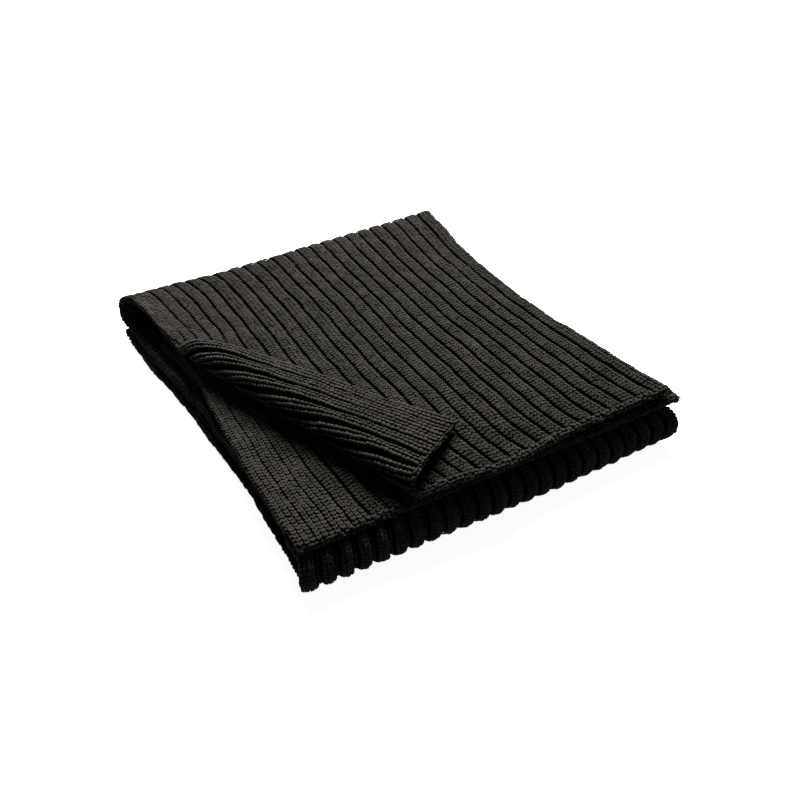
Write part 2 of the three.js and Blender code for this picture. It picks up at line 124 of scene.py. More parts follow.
# Shares of the full rib depth that are left where the ribs lie flatter
SELVAGE_RELIEF = 0.3
FREE_END_RELIEF = 0.3
BACK_LEFT_RELIEF = 0.3
BACK_RIGHT_RELIEF = 0.5


@dataclass(frozen=True)
class Table:
    """Named columns whose rows are joined by smooth curves. The first column is the place along them."""

    names: tuple[str, ...]
    rows: tuple[tuple[float, ...], ...]

    def value(self, column: str, at: Array) -> Array:
        """Smooth values of one column.

        Args:
            column: The column's name.
            at: Places along the first column.

        Returns:
            One value for each place.
        """
        knots = np.array([row[0] for row in self.rows])
        heights = np.array([row[self.names.index(column)] for row in self.rows])
        last = len(knots) - 1
        before = np.maximum(np.arange(last + 1) - 1, 0)
        after = np.minimum(np.arange(last + 1) + 1, last)
        slopes = (heights[after] - heights[before]) / (knots[after] - knots[before])
        place = np.clip(at, knots[0], knots[-1])
        i = np.searchsorted(knots[1:last], place, side="left")
        span = knots[i + 1] - knots[i]
        s = (place - knots[i]) / span
        return (
            heights[i] * (1 + 2 * s) * (1 - s) ** 2
            + heights[i + 1] * s * s * (3 - 2 * s)
            + slopes[i] * span * s * (1 - s) ** 2
            - slopes[i + 1] * span * s * s * (1 - s)
        )


# Where the side edges of the lower leaves lie, seen from above
PLAN = Table(
    ("y", "lower_left", "middle_left", "second_left", "lower_right", "second_right"),
    (
        (-146, -123.5, -122, -124.5, 123, 135),
        (-105, -121.5, -119.5, -123.6, 120.5, 122),
        (-60, -119.3, -117, -121.8, 117, 117.5),
        (-10, -120.5, -117.5, -118.2, 116.5, 114),
        (35, -122.3, -119.5, -113, 117, 113.5),
        (70, -124.8, -122.3, -112.5, 119, 115),
        (105, -128, -125, -112, 122.5, 119),
        (147, -128.5, -126.5, -112, 126, 122),
    ),
)

# The same for the top leaf
TOP_RIGHT = Table(
    ("y", "x"),
    ((-138, 125), (-110, 121.5), (-70, 118), (-12, 115.5), (37, 116), (75, 118), (118, 124), (147, 128)),
)
TOP_LEFT = Table(
    ("y", "x"),
    (
        (-138, -125.5),
        (-96, -125),
        (-50, -128.5),
        (-15, -129.5),
        (20, -129),
        (40, -126),
        (55, -118.5),
        (68, -114.5),
        (94, -116.2),
        (118, -118.5),
        (134, -121.5),
        (147, -126.5),
    ),
)

# How far the top leaf's ribs lie off an even course, in ribs, at nine places across it
RIB_DRIFT_AT = (0.0, 0.08, 0.25, 0.33, 0.46, 0.6, 0.75, 0.95, 1.0)
RIB_DRIFT = Table(
    ("y", "selvage", "second", "sixth", "eighth", "eleventh", "fourteenth", "eighteenth", "last", "right"),
    (
        (-138, 0, 0, 0, -0.3, -0.56, -0.58, -0.5, -0.2, 0),
        (-114, 0, 0, 0, -0.35, -0.62, -0.66, -0.6, -0.25, 0),
        (-82, 0, 0, 0, -0.1, -0.25, -0.33, -0.22, -0.2, 0),
        (-50, 0, 0, 0, 0.1, 0.12, -0.06, -0.04, -0.17, 0),
        (-18, 0, 0, 0.05, 0.24, 0.2, 0.09, 0.07, -0.08, 0),
        (14, 0, 0, 0.2, 0.22, 0.34, 0.2, 0.1, -0.08, 0),
        (30, 0, 0.05, 0.25, 0.25, 0.38, 0.28, 0.1, -0.12, 0),
        (46, 0, 0, 0.06, 0.18, 0.32, 0.26, 0.02, -0.15, 0),
        (62, 0, -0.15, -0.32, -0.2, 0, 0, -0.13, -0.15, 0),
        (78, 0, -0.4, -0.63, -0.43, -0.24, -0.25, -0.21, -0.16, 0),
        (94, 0, -0.6, -0.8, -0.62, -0.4, -0.34, -0.35, -0.2, 0),
        (118, 0, -0.7, -0.9, -0.7, -0.5, -0.45, -0.48, -0.22, 0),
    ),
)

# Heights over the floor: the top of the lower leaves, and the undersides of the second leaf and the top one
LEVELS = Table(
    ("y", "lower", "second", "top"),
    (
        (-146, 11.5, 28.2, 35),
        (-100, 11.4, 28, 34.7),
        (-50, 10.8, 26.3, 33.2),
        (0, 10, 23.8, 31.6),
        (50, 9.2, 21.3, 30.2),
        (100, 8.4, 19, 29),
        (147, 8.3, 18.2, 28.8),
    ),
)

# The turned corner's roll, which is tighter at both ends
ROLL_RADII = Table(("t", "radius"), ((-200, 5), (-160, 7), (-100, 7.8), (-50, 7), (30, 5.8)))


def smooth(value: Array) -> Array:
    """Eases from 0 to 1 as the value goes from 0 to 1."""
    s = np.clip(value, 0.0, 1.0)
    return s * s * (3 - 2 * s)


def ramp(value: Array, start: float, over: float) -> Array:
    """Eases from 0 to 1 as the value goes from start to start + over."""
    return smooth((value - start) / over)


@dataclass(frozen=True)
class Ease:
    """An eased step from 0 to 1, which starts at a place and is over some way further on."""

    start: float
    over: float

    def at(self, value: Array) -> Array:
        """How far through the step each place is."""
        return ramp(value, self.start, self.over)


# Where the top leaf's bulges and its droop begin, across and along it
RIGHT_LIFT_ACROSS = Ease(-60, 190)
RIGHT_LIFT_ALONG = Ease(-20, 160)
LEFT_LIFT_ACROSS = Ease(30, 80)
LEFT_LIFT_ALONG = Ease(60, 70)
DROOP_ACROSS = Ease(90, 30)
DROOP_FADES = Ease(0, 130)

# Where its pulled ribs even out, and where the ribs open beside an edge or lie flat again
RIBS_EVEN_OUT = Ease(-10, BACK_CENTRE + 10)
SELVAGE_RIBS_OPEN = Ease(1.0, 3.0)
FREE_END_RIBS_OPEN = Ease(2.5, 3)
BACK_LEFT_RIBS_OPEN = Ease(0.02, 0.16)
BACK_RIGHT_RIBS_FLATTEN = Ease(0.85, 0.08)


def mix(a: Array, b: Array, share: Array) -> Array:
    """Goes from a to b as share goes from 0 to 1."""
    return a + (b - a) * share


def even(u: Array, v: Array, value: float) -> Array:
    """The same value at every place on the cloth."""
    return np.full_like(np.asarray(u + v, dtype=float), value)


def unit(vectors: Array) -> Array:
    """Vectors of length 1."""
    return vectors / np.linalg.norm(vectors, axis=-1, keepdims=True)


def stack(x: Array, y: Array, z: Array) -> Array:
    """Points from their three coordinates."""
    return np.stack(np.broadcast_arrays(x, y, z), axis=-1).astype(float)


def level(y: Array, column: str) -> Array:
    """Height of a layer at a station along the scarf."""
    return LEVELS.value(column, y)


def top_underside(x: Array, y: Array) -> Array:
    """Underside of the top leaf, which bulges up at both back corners and droops over its right edge.

    Args:
        x: Places across the scarf, in millimetres.
        y: Places along the scarf, in millimetres.

    Returns:
        Heights over the floor.
    """
    right_lift = BACK_RIGHT_LIFT * RIGHT_LIFT_ACROSS.at(x) * RIGHT_LIFT_ALONG.at(y)
    left_lift = BACK_LEFT_LIFT * LEFT_LIFT_ACROSS.at(-x) * LEFT_LIFT_ALONG.at(y)
    droop = RIGHT_DROOP * DROOP_ACROSS.at(x) * (1 - DROOP_FADES.at(np.abs(y - RIGHT_DROOP_AT)))
    return level(y, "top") + right_lift + left_lift - droop


def drifted(u: Array, y: Array) -> Array:
    """Where the ribs of the top leaf lie across it, with the slow bends that its pulled corner gives them.

    Args:
        u: Places across the cloth, as shares of its width.
        y: Places along the scarf, in millimetres.

    Returns:
        The same places, moved with the ribs' bends.
    """
    bends = 0.0
    for index, name in enumerate(RIB_DRIFT.names[1:]):
        near = np.eye(len(RIB_DRIFT_AT))[index]
        bends = bends + RIB_DRIFT.value(name, y) * np.interp(u, RIB_DRIFT_AT, near)
    return u + bends / RIBS


def top_across(u: Array, y: Array) -> Array:
    """Place across the top leaf, as if it were laid out flat. The ribs even out towards the back fold.

    Args:
        u: Places across the cloth, as shares of its width.
        y: Places along the scarf, in millimetres.

    Returns:
        Places across the scarf, in millimetres.
    """
    left = TOP_LEFT.value("x", y)
    right = TOP_RIGHT.value("x", y)
    share = drifted(u, y)
    gauge = right - (1 - share) * WIDTH
    pulled = gauge + (left - right + WIDTH) * (1 - share) ** PULL_FADES
    return mix(pulled, mix(left, right, share), RIBS_EVEN_OUT.at(y))


def from_corner(x: Array, y: Array) -> Array:
    """Distance of a flat place from the free corner, square to the roll."""
    return (x - CORNER[0]) * ROLL_ACROSS[0] + (y - CORNER[1]) * ROLL_ACROSS[1]


def left_relief(u: Array) -> Array:
    """Share of the rib depth beside the top leaf's left selvage at the back, where the ribs lie flat."""
    return mix(BACK_LEFT_RELIEF, 1.0, BACK_LEFT_RIBS_OPEN.at(u))


def free_end_relief(v: Array) -> Array:
    """Share of the rib depth at a distance from a free end, where the ribs fade."""
    return mix(FREE_END_RELIEF, 1.0, FREE_END_RIBS_OPEN.at(v))


def rolled(x: Array, y: Array) -> Array:
    """Carries flat places of the corner round the roll, midway through the cloth.

    Args:
        x: Places across the scarf, in millimetres.
        y: Places along the scarf, in millimetres.

    Returns:
        Points midway through the cloth.
    """
    t = (x - CORNER[0]) * ROLL_ALONG[0] + (y - CORNER[1]) * ROLL_ALONG[1]
    path = np.maximum(ROLL_START - from_corner(x, y), 0.0)
    radius = ROLL_RADII.value("radius", t)
    half = np.pi * radius
    angle = np.minimum(path / radius, np.pi)
    share = np.clip((path - half) / FLAP_SETTLES_OVER, 0.0, 1.0)
    fall = (2 * radius - FLAP_RESTS_AT) * smooth(share)
    across = np.where(path < half, -radius * np.sin(angle), path - half)
    height = np.where(path < half, radius * (1 - np.cos(angle)), 2 * radius - fall)
    place_x = CORNER[0] + ROLL_ACROSS[0] * (ROLL_START + across) + ROLL_ALONG[0] * t
    place_y = CORNER[1] + ROLL_ACROSS[1] * (ROLL_START + across) + ROLL_ALONG[1] * t
    seam_x = CORNER[0] + ROLL_ACROSS[0] * ROLL_START + ROLL_ALONG[0] * t
    seam_y = CORNER[1] + ROLL_ACROSS[1] * ROLL_START + ROLL_ALONG[1] * t
    base = np.maximum(top_underside(place_x, place_y), top_underside(seam_x, seam_y)) + CLOTH / 2
    return stack(place_x, place_y, base + height)


def front_run(share: Array) -> Array:
    """How far the front fold runs forward of its left end, at a share of the way to its right end."""
    return FRONT_SLANT * share + FRONT_BOW * 4 * share * (1 - share)


@dataclass(frozen=True)
class HalfRound:
    """Half of an ellipse that a fold follows, with a straight leg before it and one after it."""

    centre: float
    reach: float
    leg_in: float
    leg_out: float
    rise: float

    @property
    def arc(self) -> float:
        """Length of the round, by Ramanujan's formula."""
        a, b = self.reach, self.rise
        return math.pi * (3 * (a + b) - math.sqrt((3 * a + b) * (a + 3 * b))) / 2

    @property
    def length(self) -> float:
        """Length of both legs and the round."""
        return self.leg_in + self.arc + self.leg_out

    def follow(self, v: Array) -> tuple[Array, Array, Array, Array]:
        """Follows the fold from the start of its first leg.

        Args:
            v: Distances along the fold.

        Returns:
            Distance forward of the centre, height as a share of the rise, and the outward direction's
            forward and upward parts.
        """
        fine = np.linspace(0, np.pi, ROUND_STEPS)
        steps = np.hypot(self.reach * np.cos(fine), self.rise * np.sin(fine))
        run = np.concatenate([[0.0], np.cumsum((steps[1:] + steps[:-1]) / 2)])
        angle = np.interp((v - self.leg_in) / self.arc, run / run[-1], fine)
        before = np.maximum(self.leg_in - v, 0.0)
        after = np.maximum(v - self.leg_in - self.arc, 0.0)
        forward = self.reach * np.sin(angle) - before - after
        out_forward = np.sin(angle) / self.reach
        out_up = np.cos(angle) / self.rise
        size = np.hypot(out_forward, out_up)
        return forward, np.cos(angle), out_forward / size, out_up / size


@dataclass(frozen=True)
class Wave:
    """One of the slow waves that make the knit uneven. It runs along the ribs and slants across them."""

    height: float
    length: float
    slant: float
    start: float = 0.0

    def at(self, u: Array, v: Array) -> Array:
        """How high the wave stands at places on the cloth."""
        return self.height * np.sin(2 * np.pi * (v / self.length + self.slant * u) + self.start)


SWAY = (Wave(0.03, 83, 1.3), Wave(0.02, 41, -4.9, 1.0), Wave(0.007, 17, 9.1, 2.0), Wave(0.005, 9.7, -17.3))
HEAVE = (Wave(0.22, 67, -1.7), Wave(0.13, 31, 5.3, 0.7), Wave(0.08, 19, 11.3, 2.1))


def sway(u: Array, v: Array) -> Array:
    """How far the ribs wander sideways, in ribs."""
    return sum(wave.at(u, v) for wave in SWAY)


def heave(u: Array, v: Array) -> Array:
    """How far the cloth stands up or lies lower than its even course, in millimetres."""
    return sum(wave.at(u, v) for wave in HEAVE)


@dataclass
class Frames:
    """Places on the cloth, each with its directions across, along and out of the face."""

    point: Array
    across: Array
    along: Array
    outward: Array

    def carry(self, local: Array) -> Array:
        """Carries small shapes to these places.

        Args:
            local: For each place, points given across, along and out of the face.

        Returns:
            The same points, in the scarf's millimetres.
        """
        return (
            self.point[:, None]
            + local[..., 0:1] * self.across[:, None]
            + local[..., 1:2] * self.along[:, None]
            + local[..., 2:3] * self.outward[:, None]
        )


@dataclass
class Stretch:
    """A stretch of the cloth: where its middle runs, how thick it is, and how its ribs stand.

    facing is -1 where the ribbed face lies on the other side of the surface. curl is how far a free end
    curls down, and scallop how far its edge follows the ribs. gather draws the columns of a rib together.
    """

    name: str = "stretch"
    node: str = ""
    length: float = 0.0
    strip_start: float = 0.0
    facing: float = 1.0
    rib_depth: float = 3.0
    rib_power: float = 3.0
    start_cut: bool = False
    end_cut: bool = False
    heaves: bool = True
    curl: float = 0.0
    curl_over: float = 6.0
    scallop: float = 0.35
    scallop_over: float = 8.0
    gather: float = 1.0

    def middle(self, u: Array, v: Array) -> Array:
        """Where the middle of the cloth runs."""
        raise NotImplementedError

    def half(self, u: Array, v: Array) -> Array:
        """Half of the cloth's thickness."""
        return even(u, v, CLOTH / 2)

    def relief(self, u: Array, v: Array) -> Array:
        """Share of the full rib depth that stands here."""
        return even(u, v, 1.0)

    def first(self, u: Array) -> Array:
        """Where the stretch starts, for each place across."""
        return np.zeros_like(u)

    def last(self, u: Array) -> Array:
        """Where the stretch ends, for each place across."""
        return np.full_like(u, self.length)

    def placed(self, u: Array, v: Array) -> Array:
        """Where the middle of the cloth runs, with the ribs' small wandering."""
        return self.middle(u + sway(u, v + self.strip_start) / RIBS, v)

    def frames(self, u: Array, v: Array) -> Frames:
        """Places midway through the cloth, with their directions.

        Args:
            u: Places across the cloth, as shares of its width.
            v: Distances along the cloth, in millimetres.

        Returns:
            The places, with their directions.
        """
        step = 0.3
        point = self.placed(u, v)
        across = unit(self.placed(u + step / WIDTH, v) - self.placed(u - step / WIDTH, v))
        along = unit(self.placed(u, v + step) - self.placed(u, v - step))
        outward = unit(np.cross(across, along)) * self.facing
        if self.heaves:
            lift = heave(u, v + self.strip_start)
            if not self.start_cut:
                ribs = np.cos(2 * np.pi * RIBS * u)
                lift = lift - self.curl * np.clip(1 - v / self.curl_over, 0, 1) ** 2
                lift = lift - self.scallop * ribs * np.clip(1 - v / self.scallop_over, 0, 1)
            point = point + outward * lift[..., None]
        return Frames(point, across, along, outward)

    def standing(self, u: Array, v: Array) -> Array:
        """How deep the valleys are. They fade at the selvages."""
        from_edge = np.minimum(u, 1 - u) * WIDTH
        return self.rib_depth * self.relief(u, v) * mix(SELVAGE_RELIEF, 1.0, SELVAGE_RIBS_OPEN.at(from_edge))

    def fall(self, u: Array, v: Array) -> Array:
        """How far the ribbed face lies below its crowns: broad crowns with narrow valleys between them."""
        off = np.abs(2 * np.mod(u * RIBS, 1.0) - 1)
        return -self.standing(u, v) * off**self.rib_power

    def face(self, u: Array, v: Array) -> Frames:
        """Places on the ribbed face, tilted with the flanks of the ribs.

        Args:
            u: Places across the cloth, as shares of its width.
            v: Distances along the cloth, in millimetres.

        Returns:
            The places, with their directions.
        """
        frames = self.frames(u, v)
        off = 2 * np.mod(u * RIBS, 1.0) - 1
        rate = self.rib_power * np.abs(off) ** (self.rib_power - 1) * np.sign(off)
        slope = -self.standing(u, v) * rate * 2 * RIBS / WIDTH
        height = self.half(u, v) + self.fall(u, v)
        point = frames.point + frames.outward * height[..., None]
        outward = unit(frames.outward - frames.across * slope[..., None])
        overlap = np.sum(frames.across * outward, axis=-1, keepdims=True)
        return Frames(point, unit(frames.across - outward * overlap), frames.along, outward)

    def reverse(self, u: Array, v: Array) -> Frames:
        """Places on the plain inner face.

        Args:
            u: Places across the cloth, as shares of its width.
            v: Distances along the cloth, in millimetres.

        Returns:
            The places, with their directions.
        """
        frames = self.frames(u, v)
        depth = self.half(u, v)[..., None]
        return Frames(frames.point - frames.outward * depth, frames.across, frames.along, -frames.outward)


@dataclass
class TopLeaf(Stretch):
    """The top leaf, from its free end or the roll of its turned corner to the back fold."""

    name: str = "top_leaf"
    node: str = "top_leaf"
    rib_power: float = 4.5
    curl: float = 0.6
    length: float = TOP_TO_BACK_FOLD - TOP_END
    end_cut: bool = True
    left_flattens: Ease = Ease(20, 80)
    right_flattens: Ease = Ease(-20, 90)
    halvings: int = 24

    def station(self, u: Array, v: Array) -> Array:
        """Place along the scarf. The free end dips forward, a little right of the turned corner.

        Args:
            u: Places across the cloth, as shares of its width.
            v: Distances along the cloth, in millimetres.

        Returns:
            Places along the scarf, in millimetres.
        """
        away = (u - TOP_END_WAVE_AT) / TOP_END_WAVE_WIDTH
        dip = TOP_END_WAVE_DEPTH * np.exp(-(away**2))
        return TOP_END + v - dip * (1 - ramp(v, 0, END_EVENS_OUT))

    def middle(self, u: Array, v: Array) -> Array:
        """Where the middle of the cloth runs, round the roll too.

        Args:
            u: Places across the cloth, as shares of its width.
            v: Distances along the cloth, in millimetres.

        Returns:
            Points midway through the cloth.
        """
        y = self.station(u, v)
        x = top_across(u, y)
        flat = stack(x, y, top_underside(x, y) + CLOTH / 2)
        turned = (from_corner(x, y) < ROLL_START)[..., None]
        return np.where(turned, rolled(x, y), flat)

    def relief(self, u: Array, v: Array) -> Array:
        """Ribs lie flat near the left selvage at the back, and fade at the free end.

        Args:
            u: Places across the cloth, as shares of its width.
            v: Distances along the cloth, in millimetres.

        Returns:
            Shares from 0 for no ribs to 1 for the deepest.
        """
        y = self.station(u, v)
        at_left = mix(1.0, left_relief(u), self.left_flattens.at(y))
        at_right = mix(1.0, BACK_RIGHT_RELIEF, BACK_RIGHT_RIBS_FLATTEN.at(u) * self.right_flattens.at(y))
        return at_left * at_right * free_end_relief(v)

    def crossing(self, u: Array, distance: float) -> Array:
        """Where each column of the knit meets a line at a distance from the corner.

        Args:
            u: Places across the cloth, as shares of its width.
            distance: How far the line lies from the corner.

        Returns:
            One distance along the cloth for each place.
        """
        columns, column = np.unique(u, return_inverse=True)
        low = np.zeros_like(columns)
        high = np.full_like(columns, self.length)
        for _ in range(self.halvings):
            middle = (low + high) / 2
            y = self.station(columns, middle)
            inside = from_corner(top_across(columns, y), y) < distance
            low = np.where(inside, middle, low)
            high = np.where(inside, high, middle)
        return ((low + high) / 2)[column].reshape(np.shape(u))

    def first(self, u: Array) -> Array:
        """Where the stretch starts, for each place across."""
        return self.crossing(u, ROLL_START)


@dataclass
class TurnedCorner(TopLeaf):
    """The near left corner of the top leaf, rolled back so that the reverse of the knit shows."""

    name: str = "turned_corner"
    node: str = "turned_corner"
    rib_power: float = 3.0
    curl: float = -0.4
    facing: float = -1.0
    flap_relief: float = 0.2
    flap_flattens: Ease = Ease(17, 26)
    end_relief: float = 0.7
    end_opens: Ease = Ease(1, 4)

    def first(self, u: Array) -> Array:
        """Where the stretch starts, for each place across."""
        return np.zeros_like(u)

    def last(self, u: Array) -> Array:
        """Where the stretch ends, for each place across."""
        return self.crossing(u, ROLL_START)

    def relief(self, u: Array, v: Array) -> Array:
        """Ribs stand open over the roll and lie closer on the flap.

        Args:
            u: Places across the cloth, as shares of its width.
            v: Distances along the cloth, in millimetres.

        Returns:
            Shares from 0 for no ribs to 1 for the deepest.
        """
        y = self.station(u, v)
        path = ROLL_START - from_corner(top_across(u, y), y)
        on_flap = mix(1.0, self.flap_relief, self.flap_flattens.at(path))
        return on_flap * mix(self.end_relief, 1.0, self.end_opens.at(v))


@dataclass
class BackFold(Stretch):
    """The top leaf's fold at the back, round the second leaf."""

    name: str = "back_fold"
    node: str = "back_fold"
    rib_depth: float = 2.4
    rib_power: float = 3.6
    strip_start: float = TopLeaf.length
    start_cut: bool = True
    end_cut: bool = True
    round: HalfRound = HalfRound(
        centre=BACK_CENTRE,
        reach=BACK_REACH,
        leg_in=BACK_CENTRE - TOP_TO_BACK_FOLD,
        leg_out=BACK_CENTRE - BACK_LOWER_END,
        rise=13.6,
    )
    turns_under: Ease = Ease(-0.3, 0.6)
    heel_starts: Ease = Ease(0.3, 0.5)
    length: float = round.length

    def middle(self, u: Array, v: Array) -> Array:
        """Where the middle of the cloth runs.

        Args:
            u: Places across the cloth, as shares of its width.
            v: Distances along the cloth, in millimetres.

        Returns:
            Points midway through the cloth.
        """
        forward, up, out_y, out_z = self.round.follow(v)
        lower = self.turns_under.at(-up)
        heel = BACK_HEEL * self.heel_starts.at(-up) * np.sqrt(np.clip(forward / self.round.reach, 0, 1))
        y = self.round.centre + forward + heel
        upper_x = top_across(u, y)
        lower_x = mix(PLAN.value("middle_left", y), PLAN.value("lower_right", y), drifted(u, y))
        swell = BACK_SWELL * np.sqrt(np.clip(1 - up**2, 0, 1))
        x = mix(upper_x, lower_x, lower) + (2 * u - 1) * swell
        top = top_underside(x, np.minimum(y, BACK_CENTRE)) + CLOTH
        bottom = float(level(MIDDLE_BACK, "lower")) + SEAM
        z = (top + bottom) / 2 + up * (top - bottom) / 2
        return stack(x, y - out_y * CLOTH / 2, z - out_z * CLOTH / 2)

    def relief(self, u: Array, v: Array) -> Array:
        """Ribs lie flat near the left selvage where the top leaf's do."""
        flat = left_relief(u) * mix(1.0, BACK_RIGHT_RELIEF, BACK_RIGHT_RIBS_FLATTEN.at(u))
        return mix(flat, 1.0, ramp(v, self.round.leg_in, self.round.arc))


@dataclass
class SecondLeaf(Stretch):
    """The second leaf, with its free end at the front and its own fold at the back."""

    name: str = "second_leaf"
    node: str = "second_leaf"
    curl: float = 1.4
    end_cut: bool = True
    flat_relief: float = 0.35
    ribs_open: Ease = Ease(0.1, 0.2)
    tip_starts: Ease = Ease(0.94, 0.06)
    tip_over: float = 9.0
    round: HalfRound = HalfRound(
        centre=SECOND_BACK, reach=SECOND_FOLD_REACH, leg_in=SECOND_BACK - SECOND_END, leg_out=0.0, rise=7.4
    )
    length: float = round.length

    def middle(self, u: Array, v: Array) -> Array:
        """Where the middle of the cloth runs.

        Args:
            u: Places across the cloth, as shares of its width.
            v: Distances along the cloth, in millimetres.

        Returns:
            Points midway through the cloth.
        """
        forward, up, out_y, out_z = self.round.follow(v)
        slant = SECOND_END_SLANT * u * (1 - ramp(v, 0, END_EVENS_OUT))
        y = self.round.centre + forward - slant
        blunt = SECOND_TIP_ROUND * self.tip_starts.at(u) * np.clip(1 - v / self.tip_over, 0, 1) ** 2
        x = mix(PLAN.value("second_left", y), PLAN.value("second_right", y), u) - blunt
        top = level(np.minimum(y, SECOND_BACK), "second") + CLOTH
        bottom = level(np.minimum(y, SECOND_BACK), "lower") + CLOTH + 2 * SEAM
        z = mix(top, (top + bottom) / 2 + up * (top - bottom) / 2, v > self.round.leg_in)
        return stack(x, y - out_y * CLOTH / 2, z - out_z * CLOTH / 2)

    def relief(self, u: Array, v: Array) -> Array:
        """Ribs lie stretched flat on the left, and fade at the free end."""
        return mix(self.flat_relief, 1.0, self.ribs_open.at(u)) * free_end_relief(v)


@dataclass
class FrontFold(Stretch):
    """The big fold at the front, round the middle layers."""

    name: str = "front_fold"
    node: str = "front_fold"
    rib_depth: float = 4.0
    rib_power: float = 1.8
    gather: float = 0.86
    facing: float = -1.0
    strip_start: float = 31.0
    start_cut: bool = True
    end_cut: bool = True
    pressed_relief: float = 0.35
    pressed_from: float = 0.45
    pressed_over: float = 0.4
    leg: float = FRONT_FOLD_LEG - FRONT_CENTRE
    round: HalfRound = HalfRound(centre=FRONT_CENTRE, reach=FRONT_REACH, leg_in=leg, leg_out=leg, rise=13.9)
    length: float = round.length

    def relief(self, u: Array, v: Array) -> Array:
        """Ribs are pressed flatter where the fold rests on the floor.

        Args:
            u: Places across the cloth, as shares of its width.
            v: Distances along the cloth, in millimetres.

        Returns:
            Shares from 0 for no ribs to 1 for the deepest.
        """
        arc = self.round.arc
        pressed = ramp(v + 0 * u, self.leg + self.pressed_from * arc, self.pressed_over * arc)
        return mix(1.0, self.pressed_relief, pressed)

    def middle(self, u: Array, v: Array) -> Array:
        """Where the middle of the cloth runs.

        Args:
            u: Places across the cloth, as shares of its width.
            v: Distances along the cloth, in millimetres.

        Returns:
            Points midway through the cloth.
        """
        forward, up, out_y, out_z = self.round.follow(v)
        ahead = np.clip((forward + self.leg) / self.leg, 0, 1)
        y = FRONT_CENTRE - forward - front_run(u) * ahead
        swell = FRONT_SWELL * np.sqrt(np.clip(1 - up**2, 0, 1))
        x = mix(PLAN.value("lower_left", y), PLAN.value("lower_right", y), u) + (2 * u - 1) * swell
        top = float(level(FRONT_FOLD_LEG, "second")) - SEAM
        z = top / 2 * (1 + up)
        return stack(x, y + out_y * CLOTH / 2, z - out_z * CLOTH / 2)


@dataclass
class LowerFold(Stretch):
    """The half fold, at the back of the two lowest leaves."""

    name: str = "lower_fold"
    node: str = "lower_fold"
    strip_start: float = 77.0
    rib_depth: float = 1.8
    start_cut: bool = True
    end_cut: bool = True
    corner_power: int = 12
    corner_starts: Ease = Ease(-4, 8)
    round: HalfRound = HalfRound(
        centre=LOWER_FOLD_START + LOWER_FOLD_LEG,
        reach=LOWER_FOLD_REACH,
        leg_in=LOWER_FOLD_LEG,
        leg_out=LOWER_FOLD_LEG,
        rise=4.15,
    )
    length: float = round.length

    def middle(self, u: Array, v: Array) -> Array:
        """Where the middle of the cloth runs.

        Args:
            u: Places across the cloth, as shares of its width.
            v: Distances along the cloth, in millimetres.

        Returns:
            Points midway through the cloth.
        """
        forward, up, out_y, out_z = self.round.follow(v)
        corner = LOWER_FOLD_CORNER * (1 - u) ** self.corner_power * self.corner_starts.at(forward)
        y = self.round.centre + forward + corner
        x = mix(PLAN.value("lower_left", y), PLAN.value("lower_right", y), u)
        top = float(level(LOWER_FOLD_START, "lower"))
        z = top / 2 * (1 + up)
        return stack(x, y - out_y * LOWER_FOLD_WALL / 2, z - out_z * LOWER_FOLD_WALL / 2)

    def half(self, u: Array, v: Array) -> Array:
        """Half of the cloth's thickness."""
        return even(u, v, LOWER_FOLD_WALL / 2)


class Layer(Enum):
    """The hidden leaves, counted down from the top of the stack."""

    THIRD = "third_leaf"
    FOURTH = "fourth_leaf"
    FIFTH = "fifth_leaf"
    SIXTH = "sixth_leaf"


